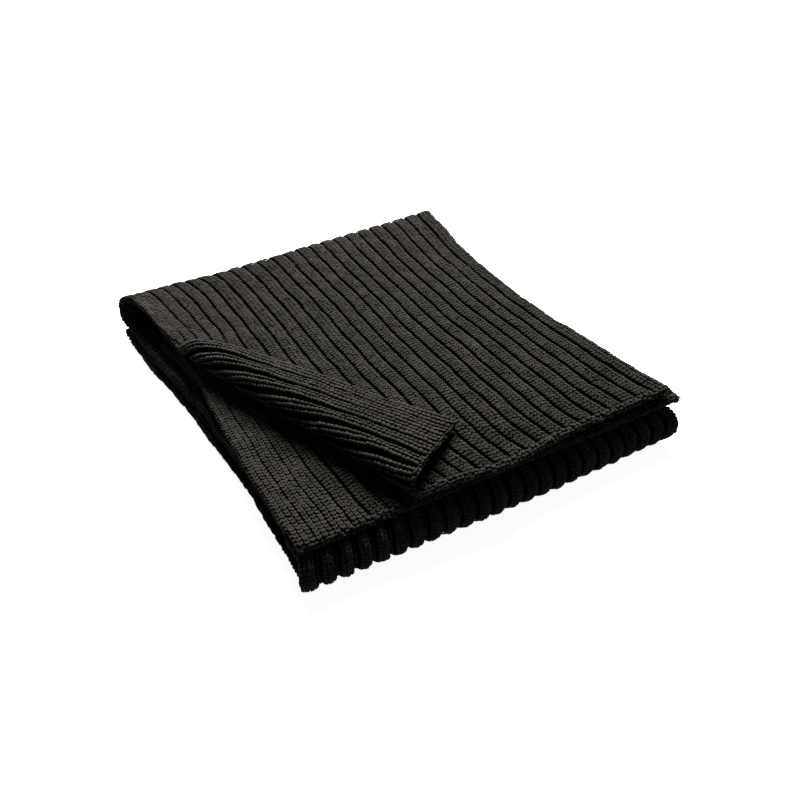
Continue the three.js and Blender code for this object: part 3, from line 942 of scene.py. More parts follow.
@dataclass
class HiddenLeaf(Stretch):
    """A leaf inside the stack, which shows at its edges.

    third_in, fifth_in and inner_in are how far its side edges lie in from those of the layers round it, and
    clear is half of the gap between the two leaves of a pair.
    """

    layer: Layer = Layer.THIRD
    rib_depth: float = 0.0
    heaves: bool = False
    nose: float = FRONT_CENTRE - FRONT_REACH + CLOTH + 2 * SEAM
    nose_clear: float = 0.4
    clear: float = 0.15
    fourth_share: float = 0.48
    strip_step: float = 13.0
    third_in: tuple[float, float] = (4.0, 8.0)
    third_in_grows: Ease = Ease(-120, 80)
    fifth_in: tuple[float, float] = (3.0, 1.0)
    inner_in: float = 1.0

    def __post_init__(self) -> None:
        """Lays the leaf out for its place in the stack."""
        self.name = self.layer.value
        self.inner = self.layer in (Layer.THIRD, Layer.FOURTH)
        self.node = "middle_layers" if self.inner else "lower_layers"
        self.front = self.nose + self.nose_clear if self.inner else FRONT_FOLD_LEG + 3 * SEAM
        self.back = MIDDLE_BACK if self.inner else LOWER_FOLD_START - SEAM
        self.length = self.back - self.front
        self.strip_start = self.strip_step * list(Layer).index(self.layer)
        self.start_cut = not self.inner
        self.end_cut = True

    def span(self, y: Array) -> tuple[Array, Array]:
        """Underside and top of the leaf at a station along the scarf.

        Args:
            y: Places along the scarf, in millimetres.

        Returns:
            Heights of the underside and of the top.
        """
        if not self.inner:
            top = level(y, "lower")
            if self.layer is Layer.SIXTH:
                return 0 * top, top / 2 - self.clear
            return top / 2 + self.clear, top
        wall = CLOTH + 2 * SEAM
        share = np.clip((FRONT_CENTRE - y) / (FRONT_CENTRE - self.nose), 0, 1)
        centre = (float(level(FRONT_FOLD_LEG, "second")) - SEAM) / 2
        rise = (centre - wall) * np.sqrt(1 - share**2)
        body = ramp(y, FRONT_FOLD_LEG, 2 * SEAM)
        bottom = mix(centre - rise, level(y, "lower") + SEAM, body)
        top = mix(centre + rise, level(y, "second") - SEAM, body)
        middle = mix(bottom, top, self.fourth_share)
        if self.layer is Layer.FOURTH:
            return bottom, middle - self.clear
        return middle + self.clear, top

    def middle(self, u: Array, v: Array) -> Array:
        """Where the middle of the cloth runs.

        Args:
            u: Places across the cloth, as shares of its width.
            v: Distances along the cloth, in millimetres.

        Returns:
            Points midway through the cloth.
        """
        y = self.front + v
        bottom, top = self.span(y)
        if self.inner:
            left = PLAN.value("middle_left", y)
            right = PLAN.value("lower_right", y) - self.inner_in
        else:
            left = PLAN.value("lower_left", y)
            right = PLAN.value("lower_right", y)
        if self.layer is Layer.THIRD:
            set_in = mix(*self.third_in, self.third_in_grows.at(y))
            left = left + set_in
            right = right - set_in
        if self.layer is Layer.FIFTH:
            left = left + self.fifth_in[0]
            right = right - self.fifth_in[1]
        x = mix(left, right, u)
        ahead = ramp(-y, -FRONT_FOLD_LEG, FRONT_FOLD_LEG - FRONT_CENTRE)
        return stack(x, y - front_run(x / WIDTH + 0.5) * ahead * self.inner, (bottom + top) / 2)

    def half(self, u: Array, v: Array) -> Array:
        """Half of the cloth's thickness."""
        bottom, top = self.span(self.front + v + 0 * u)
        return (top - bottom) / 2

    def relief(self, u: Array, v: Array) -> Array:
        """The hidden leaves are pressed flat."""
        return even(u, v, 0.0)


def new_object(name: str, mesh: bpy.types.Mesh, material: bpy.types.Material) -> bpy.types.Object:
    """Puts a finished mesh into the scene.

    Args:
        name: The object's name.
        mesh: Its mesh.
        material: Its finish.

    Returns:
        The object.
    """
    mesh.materials.append(material)
    piece = bpy.data.objects.new(name, mesh)
    bpy.context.scene.collection.objects.link(piece)
    return piece


def to_frame(points: Array) -> Array:
    """Turns the scarf's millimetres into the frame's metres."""
    return (points - np.array([CENTRE_X, CENTRE_Y, 0.0])) * MM


@dataclass(frozen=True)
class Ground:
    """The cloth's wall, which lies just under the stitches and is coloured in painted shade.

    sunk is how far under them it lies where the ribs stand open, and sunk_flat where they lie flat.
    rib_places are the corners of a rib's section, as shares of its width.
    """

    sunk: float = 0.95
    sunk_flat: float = 0.7
    edge: float = 1.5
    edge_clear: float = 1.2
    edge_steps: int = 4
    rib_places: tuple[float, ...] = (0.0, 0.06, 0.16, 0.5, 0.84, 0.94)
    row_step: float = 4.0
    least_rows: int = 8
    end_round: float = 2.2
    end_steps: tuple[float, ...] = (0.0, 0.3, 0.65, 1.0)
    least_step: float = 1e-4
    flat_relief: float = 0.3
    open_relief: float = 0.55
    thinnest: float = 0.25
    weld: float = 1e-7

    def columns(self, ribs: float) -> Array:
        """Places across the outer face, from one selvage to the other.

        Args:
            ribs: How many ribs wide the cloth is.

        Returns:
            Places across the cloth, as shares of its width.
        """
        places = [(rib + at) / RIBS for rib in range(math.ceil(ribs)) for at in self.rib_places]
        edge = self.edge / WIDTH
        last = ribs / RIBS
        clear = edge * self.edge_clear
        inner = [u for u in places if clear < u < last - clear]
        return np.array([edge, *inner, last - edge])

    def loop(self, ribs: float, ribbed: bool) -> tuple[Array, Array]:
        """Goes once round the cloth's section.

        Args:
            ribs: How many ribs wide the cloth is.
            ribbed: Whether its ribs show.

        Returns:
            Places across, and how far each is towards the outer (1) or the inner (-1) face.
        """
        face = self.columns(ribs) if ribbed else np.linspace(self.edge, WIDTH - self.edge, RIBS * 2) / WIDTH
        back = face[::-1]
        turn = np.linspace(np.pi / 2, -np.pi / 2, self.edge_steps + 1)[1:-1]
        bulge = self.edge / WIDTH * np.cos(turn)
        u = np.concatenate([face, face[-1] + bulge, back, face[0] - bulge, face[:1]])
        side = np.concatenate([np.ones_like(face), np.sin(turn), -np.ones_like(back), -np.sin(turn), [1.0]])
        return u, side

    def rows(self, stretch: Stretch) -> tuple[Array, Array]:
        """Shares of the way along a stretch, and how thick the cloth is at each.

        Args:
            stretch: Where the cloth runs.

        Returns:
            Shares of the way, and the thickness at each as a share of the full one.
        """
        length = stretch.length
        count = max(self.least_rows, round(length / self.row_step))
        inner = np.linspace(0, 1, count + 1)[1:-1]
        rise = np.array(self.end_steps)
        end = (1 - np.cos(rise * np.pi / 2)) * self.end_round / length
        thick = np.sin(rise * np.pi / 2)
        cut = np.array([0.0, 0.0])
        first = (cut, np.array([0.0, 1.0])) if stretch.start_cut else (end, thick)
        last = (1 - cut, np.array([1.0, 0.0])) if stretch.end_cut else (1 - end[::-1], thick[::-1])
        inner = inner[(inner > first[0][-1] + self.least_step) & (inner < last[0][0] - self.least_step)]
        return (
            np.concatenate([first[0], inner, last[0]]),
            np.concatenate([first[1], np.ones_like(inner), last[1]]),
        )

    def build(self, stretch: Stretch, material: bpy.types.Material, ribs: float = RIBS) -> bpy.types.Object:
        """Builds the closed wall of one stretch.

        Args:
            stretch: Where the cloth runs.
            material: The painted shade that colours the wall.
            ribs: How many ribs wide it is, from its left selvage.

        Returns:
            The finished piece.
        """
        loop_u, side = self.loop(ribs, stretch.rib_depth > 0)
        share, thick = self.rows(stretch)
        u, t = np.meshgrid(loop_u, share)
        weight = side[None] * thick[:, None]
        v = mix(stretch.first(u), stretch.last(u), t)
        frames = stretch.frames(u, v)
        edge = self.edge / WIDTH
        inside = np.clip(u, edge, ribs / RIBS - edge)
        open_share = ramp(stretch.relief(inside, v), self.flat_relief, self.open_relief - self.flat_relief)
        sunk = mix(self.sunk_flat, self.sunk, open_share)
        half = stretch.half(u, v)
        outer = np.maximum(half - sunk + stretch.fall(inside, v), self.thinnest - half)
        height = np.where(weight >= 0, weight * outer, weight * half)
        points = to_frame(frames.point + frames.outward * height[..., None])
        shape = bmesh.new()
        shape.loops.layers.uv.new("OFBake")
        bmesh.ops.create_grid(
            shape, x_segments=len(loop_u) - 1, y_segments=len(share) - 1, size=1.0, calc_uvs=True
        )
        for vertex in shape.verts:
            column = round((vertex.co.x + 1) / 2 * (len(loop_u) - 1))
            row = round((vertex.co.y + 1) / 2 * (len(share) - 1))
            vertex.co = points[row, column]
        bmesh.ops.remove_doubles(shape, verts=shape.verts, dist=self.weld)
        bmesh.ops.dissolve_degenerate(shape, edges=shape.edges, dist=self.weld)
        bmesh.ops.recalc_face_normals(shape, faces=shape.faces)
        for face in shape.faces:
            face.smooth = True
        mesh = bpy.data.meshes.new(f"{stretch.name}_cloth")
        shape.to_mesh(mesh)
        shape.free()
        return new_object(f"{stretch.name}_cloth", mesh, material)


@dataclass
class Beads:
    """Small rounded lengths of yarn, laid as one mesh."""

    sides: int = 5
    rings: int = 3
    uv_margin: float = 0.04

    def __post_init__(self) -> None:
        """Makes the one bead that all the others copy."""
        shape = bmesh.new()
        layer = shape.loops.layers.uv.new("OFBake")
        bmesh.ops.create_uvsphere(
            shape, u_segments=self.sides, v_segments=self.rings, radius=1.0, calc_uvs=True
        )
        shape.verts.index_update()
        self.points = np.array([vertex.co[:] for vertex in shape.verts])
        self.corners = np.array([loop.vert.index for face in shape.faces for loop in face.loops])
        self.sizes = np.array([len(face.verts) for face in shape.faces])
        self.uvs = np.array([loop[layer].uv[:] for face in shape.faces for loop in face.loops])
        shape.free()

    def lay(self, name: str, beads: Array, material: bpy.types.Material) -> bpy.types.Object:
        """Joins beads into one piece.

        Args:
            name: The piece's name.
            beads: The points of every bead, in the scarf's millimetres.
            material: The yarn's finish.

        Returns:
            The finished piece.
        """
        count, points = beads.shape[:2]
        mesh = bpy.data.meshes.new(name)
        mesh.vertices.add(count * points)
        resting = np.maximum(beads, (-np.inf, -np.inf, FLOOR_CLEARANCE))
        mesh.vertices.foreach_set("co", to_frame(resting).ravel())
        corners = (self.corners[None] + points * np.arange(count)[:, None]).ravel()
        mesh.loops.add(len(corners))
        mesh.loops.foreach_set("vertex_index", corners)
        starts = np.concatenate([[0], np.cumsum(np.tile(self.sizes, count))[:-1]])
        mesh.polygons.add(len(starts))
        mesh.polygons.foreach_set("loop_start", starts)
        mesh.polygons.foreach_set("use_smooth", np.ones(len(starts), dtype=bool))
        across = math.ceil(math.sqrt(count))
        cell = np.stack([np.arange(count) % across, np.arange(count) // across], axis=-1)
        uvs = (cell[:, None] + self.uv_margin + (1 - 2 * self.uv_margin) * self.uvs[None]) / across
        mesh.uv_layers.new(name="OFBake").data.foreach_set("uv", uvs.ravel())
        mesh.uv_layers.new(name="yarn").data.foreach_set("uv", np.tile(self.uvs, (count, 1)).ravel())
        mesh.update(calc_edges=True)
        mesh.validate()
        return new_object(name, mesh, material)


@dataclass
class Sites:
    """Middles of stitches: their places across and along, and their widths as shares of a wale."""

    u: Array
    v: Array
    width: Array

    def where(self, chosen: Array) -> Sites:
        """The chosen ones alone."""
        return Sites(self.u[chosen], self.v[chosen], self.width[chosen])


@dataclass(frozen=True)
class Leg:
    """One of a knit stitch's two legs.

    offset and lean are shares of a wale, length is a share of a row and height one of the yarn. bow, lift and
    stray are in millimetres.
    """

    offset: float = 0.2
    lean: float = 0.12
    length: float = 0.66
    height: float = 0.9
    bow: float = 0.6
    lift: float = 0.15
    size_spread: float = 0.08
    tilt_spread: float = 0.06
    stray: float = 0.09


@dataclass(frozen=True)
class Bar:
    """The short bar that a stitch shows on the reverse.

    width is a share of a wale, length one of a row and height one of the yarn. bow, dip, lift and stray are
    in millimetres.
    """

    width: float = 0.46
    length: float = 0.6
    height: float = 0.85
    bow: float = 0.25
    dip: float = 0.2
    lift: float = 0.1
    size_spread: float = 0.08
    tilt_spread: float = 0.1
    stray: float = 0.08


@dataclass(frozen=True)
class Stitching:
    """The single stitches of the knit, at their real gauge."""

    row: float = 2.75
    wale: float = 2.88
    yarn: float = 0.74
    sunk: float = 0.35
    skew: float = 0.45
    skew_across: float = 31.7
    skew_along: float = 95.0
    flat_relief: float = 0.3
    open_valley: float = 0.55
    valley_overlap: float = 0.1
    leg: Leg = Leg()
    bar: Bar = Bar()
    seed: int = 11

    def legs(self, beads: Beads, width: Array, random: np.random.Generator) -> Array:
        """The two slanting legs of smooth stitches, in each stitch's own directions.

        Args:
            beads: The bead to copy.
            width: The stitches' widths, as shares of a wale.
            random: Where their small differences come from.

        Returns:
            Points of two beads for each stitch.
        """
        x, y, z = beads.points.T
        leg = self.leg
        count = len(width)
        wide = width[:, None]
        size = 1 + random.normal(0, leg.size_spread, (count, 1))
        tilt = random.normal(0, leg.tilt_spread, (count, 1))
        stray = random.normal(0, leg.stray, (count, 1, 3))
        legs = []
        for side in (-1, 1):
            slanted = side * self.wale * (leg.offset + leg.lean * z)
            across = (slanted + self.yarn * x * size) * wide + tilt * z
            along = leg.length * self.row * z * size + tilt * side
            out = (self.yarn * leg.height * y * size - leg.bow * z**2) / wide**2 + leg.lift
            legs.append(np.stack(np.broadcast_arrays(across, along, out), axis=-1) + stray)
        return np.stack(legs, axis=1)

    def bumps(self, beads: Beads, width: Array, random: np.random.Generator) -> Array:
        """The short bars that lie across the reverse of the knit, one for each stitch.

        Args:
            beads: The bead to copy.
            width: The stitches' widths, as shares of a wale.
            random: Where their small differences come from.

        Returns:
            Points of one bead for each stitch.
        """
        x, y, z = beads.points.T
        bar = self.bar
        count = len(width)
        size = 1 + random.normal(0, bar.size_spread, (count, 1))
        tilt = random.normal(0, bar.tilt_spread, (count, 1))
        across = bar.width * self.wale * width[:, None] * x * size + tilt * z
        along = self.row * bar.length * z * size + bar.bow * x**2
        out = self.yarn * bar.height * y * size + bar.lift - bar.dip * z**2
        bars = np.stack(np.broadcast_arrays(across, along, out), axis=-1)
        return (bars + random.normal(0, bar.stray, (count, 1, 3)))[:, None]

    def rows(self, stretch: Stretch, start: float, stop: float) -> Array:
        """Rows of stitches between two distances along a stretch, in step with its neighbours' rows.

        Args:
            stretch: Where the cloth runs.
            start: Where the first row may lie.
            stop: Where the last row may lie.

        Returns:
            The rows' distances along the stretch.
        """
        first = math.ceil((start + stretch.strip_start) / self.row)
        last = math.floor((stop + stretch.strip_start) / self.row)
        return np.arange(first, last + 1) * self.row - stretch.strip_start

    def sites(self, stretch: Stretch, ribs: float, start: float, stop: float) -> Sites:
        """Middles of the stitches on a stretch, three to a rib. They spread where the ribs lie flat.

        Args:
            stretch: Where the cloth runs.
            ribs: How many ribs wide it is.
            start: Where its first row lies.
            stop: Where its last row may lie.

        Returns:
            The stitches' places and widths.
        """
        grids = np.meshgrid(self.rows(stretch, start, stop), np.arange(math.ceil(ribs)), (-1, 0, 1))
        v, rib, wale = (grid.ravel().astype(float) for grid in grids)
        centre = (rib + 0.5) / RIBS
        stands = ramp(stretch.relief(centre, v), self.flat_relief, self.open_valley - self.flat_relief)
        spacing = mix(WIDTH / RIBS / 3, self.wale * stretch.gather, stands)
        u = centre + wale * spacing / WIDTH
        wander = self.skew * np.sin(2 * np.pi * (self.skew_across * u + v / self.skew_along))
        return Sites(u, v + wander, spacing / self.wale)

    def valleys(self, stretch: Stretch, start: float, stop: float) -> Sites:
        """Middles of the purl stitches at the bottom of the open valleys.

        Args:
            stretch: Where the cloth runs.
            start: Where the first row may lie.
            stop: Where the last row may lie.

        Returns:
            The stitches' places and widths.
        """
        grids = np.meshgrid(np.arange(1, RIBS) / RIBS, self.rows(stretch, start, stop) + self.row / 2)
        u, v = (grid.ravel() for grid in grids)
        left_over = WIDTH / RIBS / self.wale - 3
        found = Sites(u, v, np.full_like(u, left_over + self.valley_overlap))
        return found.where(stretch.relief(u, v) > self.open_valley)


@dataclass(frozen=True)
class SelvageLoop:
    """The long loop that finishes a side edge, one for each row or so.

    length is a share of the spacing and thickness a share of half the cloth's.
    """

    spacing: float = 3.0
    inward: float = 0.6
    reach: float = 1.5
    length: float = 0.55
    thickness: float = 0.75
    size_spread: float = 0.14


@dataclass(frozen=True)
class EndLoop:
    """The loops that close a free end. Each row of them says how high, how far forward and how slanted."""

    rows: tuple[tuple[float, float, float], ...] = ((1.2, 0.1, 0.35), (0.0, 0.9, 0.0), (-1.2, 0.1, -0.35))
    from_end: float = 1.0
    width: float = 0.62
    length: float = 0.9
    height: float = 0.95
    dip: float = 0.3
    size_spread: float = 0.12
    stray: float = 0.22


@dataclass(frozen=True)
class LooseEnd:
    """A short free length of yarn, made of beads that grow thinner."""

    beads: int = 5
    step: float = 1.1
    length: float = 0.8
    yarn: float = 0.42
    taper: float = 0.05
    droop: float = 0.2
    bend_spread: float = 0.09
    from_end: float = 2.5


@dataclass(frozen=True)
class Edging:
    """What the yarn does along the side edges and the free ends of the knit."""

    selvage: SelvageLoop = SelvageLoop()
    end: EndLoop = EndLoop()
    loose: LooseEnd = LooseEnd()

    def side(self, stretch: Stretch, edge: int, beads: Beads, random: np.random.Generator) -> Array | None:
        """The chain of long loops along one side edge.

        Args:
            stretch: Where the cloth runs.
            edge: 0 for the left side edge and 1 for the right one.
            beads: The bead to copy.
            random: Where the loops' small differences come from.

        Returns:
            Points of one bead for each loop, or nothing where the stretch has no such edge.
        """
        x, y, z = beads.points.T
        loop = self.selvage
        place = np.array([float(edge)])
        start = float(stretch.first(place)[0])
        stop = float(stretch.last(place)[0])
        if stop - start < loop.spacing:
            return None
        v = np.arange(start + loop.spacing / 2, stop, loop.spacing)
        u = np.full_like(v, edge)
        frames = stretch.frames(u, v)
        half = stretch.half(u, v)[:, None]
        size = 1 + random.normal(0, loop.size_spread, (len(v), 1))
        across = (1 - 2 * edge) * loop.inward + loop.reach * x * size
        along = loop.spacing * loop.length * z + 0 * size
        out = half * loop.thickness * y * size
        return frames.carry(np.stack(np.broadcast_arrays(across, along, out), axis=-1))

    def closing(
        self, stretch: Stretch, u: Array, wale: float, beads: Beads, random: np.random.Generator
    ) -> Array:
        """The chains of loops that close a free end.

        Args:
            stretch: Where the cloth runs.
            u: Places of the loops across the cloth.
            wale: How wide a column of stitches is.
            beads: The bead to copy.
            random: Where the loops' small differences come from.

        Returns:
            Points of one bead for each loop.
        """
        x, y, z = beads.points.T
        loop = self.end
        rows = []
        for raised, forward, slant in loop.rows:
            frames = stretch.frames(u, np.full_like(u, loop.from_end))
            size = 1 + random.normal(0, loop.size_spread, (len(u), 1))
            across = loop.width * wale * z * size
            along = -forward + loop.length * x * size + slant * z
            out = raised + loop.height * y * size - loop.dip * z**2
            loops = np.stack(np.broadcast_arrays(across, along, out), axis=-1)
            rows.append(frames.carry(loops + random.normal(0, loop.stray, (len(u), 1, 3))))
        return np.concatenate(rows)

    def frayed(
        self,
        stretch: Stretch,
        u: float,
        headings: tuple[float, ...],
        beads: Beads,
        random: np.random.Generator,
    ) -> Array:
        """Short loose lengths of yarn at a corner of a free end.

        Args:
            stretch: Where the cloth runs.
            u: The corner's place across.
            headings: Which way each length runs, in radians from square across the cloth.
            beads: The bead to copy.
            random: Where their small bends come from.

        Returns:
            Points of the beads that make up all the lengths.
        """
        x, y, z = beads.points.T
        loose = self.loose
        strands = []
        for heading in headings:
            ahead = np.array([math.cos(heading), -math.sin(heading), -loose.droop])
            beside = np.array([math.sin(heading), math.cos(heading), 0.0])
            bend = random.normal(0, loose.bend_spread)
            for bead in range(loose.beads):
                middle = ahead * loose.step * bead + beside * bend * bead**2
                thin = loose.yarn - loose.taper * bead
                shape = z[:, None] * ahead * loose.length + x[:, None] * beside * thin
                strands.append(middle + shape + y[:, None] * np.array([0.0, 0.0, thin]))
        place = stretch.frames(np.array([u]), np.array([loose.from_end]))
        return place.carry(np.concatenate(strands)[None]).reshape(len(strands), len(beads.points), 3)


@dataclass(frozen=True)
class Finish:
    """How dyed yarn looks: matt, with a soft bloom of loose fibres.

    The colours are sRGB hex values. light is the colour of the fuller fibres and dark that of the hollows
    between them. The dye lies in fibre-sized and patch-sized flecks, and plies is how often the strands of
    the yarn twist round on one bead.
    """

    name: str
    light: str
    dark: str
    fibre_mm: float
    patch_mm: float
    bump: float
    sheen: float
    gloss: float
    plies: float
    fibre_detail: float = 3.0
    fibre_roughness: float = 0.6
    fibre_share: float = 0.6
    patch_detail: float = 2.0
    dark_until: float = 0.36
    light_from: float = 0.64
    roughness: float = 0.85
    bump_mm: float = 0.3
    sheen_roughness: float = 0.5
    twist: float = 0.8
    twist_wander: float = 0.6


def linear(code: str) -> tuple[float, float, float, float]:
    """Linear colour from an sRGB hex value.

    Args:
        code: The hex value, with its leading sign.

    Returns:
        The colour, with full opacity.
    """
    parts = [int(code[i : i + 2], 16) / 255 for i in (1, 3, 5)]
    bent = [p / 12.92 if p <= 0.04045 else ((p + 0.055) / 1.055) ** 2.4 for p in parts]
    return (bent[0], bent[1], bent[2], 1.0)


def add_node(tree: bpy.types.NodeTree, kind: str, settings: dict[str, Any], inputs: dict[Any, Any]) -> Any:
    """Adds one node.

    Args:
        tree: The tree to add it to.
        kind: The node's type.
        settings: Its properties.
        inputs: Its sockets' values, or the sockets that feed them.

    Returns:
        The new node.
    """
    node = tree.nodes.new(kind)
    for key, value in settings.items():
        setattr(node, key, value)
    for key, value in inputs.items():
        if isinstance(value, bpy.types.NodeSocket):
            tree.links.new(value, node.inputs[key])
        else:
            node.inputs[key].default_value = value
    return node


def yarn_material(finish: Finish) -> bpy.types.Material:
    """Makes the yarn's material: fibres run as fine noise, and the dye lies in soft patches.

    Args:
        finish: How the yarn looks.

    Returns:
        The material.
    """
    material = bpy.data.materials.new(finish.name)
    material.use_nodes = True
    tree = material.node_tree
    tree.nodes.clear()
    place = add_node(tree, "ShaderNodeTexCoord", {}, {}).outputs["Object"]
    fibre = add_node(
        tree,
        "ShaderNodeTexNoise",
        {},
        {
            "Vector": place,
            "Scale": 1 / (finish.fibre_mm * MM),
            "Detail": finish.fibre_detail,
            "Roughness": finish.fibre_roughness,
        },
    )
    patch = add_node(
        tree,
        "ShaderNodeTexNoise",
        {},
        {"Vector": place, "Scale": 1 / (finish.patch_mm * MM), "Detail": finish.patch_detail},
    )
    blend = add_node(
        tree,
        "ShaderNodeMath",
        {"operation": "MULTIPLY"},
        {0: fibre.outputs["Fac"], 1: finish.fibre_share},
    )
    total = add_node(
        tree,
        "ShaderNodeMath",
        {"operation": "MULTIPLY_ADD"},
        {0: patch.outputs["Fac"], 1: 1 - finish.fibre_share, 2: blend.outputs[0]},
    )
    dye = add_node(tree, "ShaderNodeValToRGB", {}, {"Fac": total.outputs[0]})
    dye.color_ramp.elements[0].position = finish.dark_until
    dye.color_ramp.elements[0].color = linear(finish.dark)
    dye.color_ramp.elements[1].position = finish.light_from
    dye.color_ramp.elements[1].color = linear(finish.light)
    height = fibre.outputs["Fac"]
    if finish.plies:
        strand = add_node(tree, "ShaderNodeUVMap", {"uv_map": "yarn"}, {})
        twist = add_node(
            tree,
            "ShaderNodeTexWave",
            {"wave_type": "BANDS", "bands_direction": "DIAGONAL"},
            {"Vector": strand.outputs["UV"], "Scale": finish.plies, "Distortion": finish.twist_wander},
        )
        height = add_node(
            tree,
            "ShaderNodeMath",
            {"operation": "MULTIPLY_ADD"},
            {0: twist.outputs["Fac"], 1: finish.twist, 2: height},
        ).outputs[0]
    bump = add_node(
        tree,
        "ShaderNodeBump",
        {},
        {"Height": height, "Strength": finish.bump, "Distance": finish.bump_mm * MM},
    )
    shader = add_node(
        tree,
        "ShaderNodeBsdfPrincipled",
        {},
        {
            "Base Color": dye.outputs["Color"],
            "Roughness": finish.roughness,
            "Specular IOR Level": finish.gloss,
            "Sheen Weight": finish.sheen,
            "Sheen Roughness": finish.sheen_roughness,
            "Normal": bump.outputs["Normal"],
        },
    )
    add_node(tree, "ShaderNodeOutputMaterial", {}, {"Surface": shader.outputs[0]})
    return material


# Worsted wool yarn: warm charcoal, quite matt, with the faintest gloss where the plies turn to the light
STITCH_FINISH = Finish(
    name="worsted_wool_yarn",
    light="#34322d",
    dark="#181713",
    fibre_mm=0.5,
    patch_mm=14.0,
    bump=0.6,
    sheen=0.05,
    gloss=0.12,
    plies=1.2,
)

# Painted shade on the cloth's wall between the stitches: nearly black, since hardly any light comes back out
GROUND_PAINTED_SHADE = Finish(
    name="knit_ground_painted_shade",
    light="#121110",
    dark="#070706",
    fibre_mm=0.6,
    patch_mm=14.0,
    bump=0.6,
    sheen=0.0,
    gloss=0.0,
    plies=0.0,
)


class Side(Enum):
    """Which face a stitch lies on, and which way it is worked."""

    KNIT = "knit on the ribbed face"
    PURL = "purl on the ribbed face"
    INSIDE = "purl on the inner face"


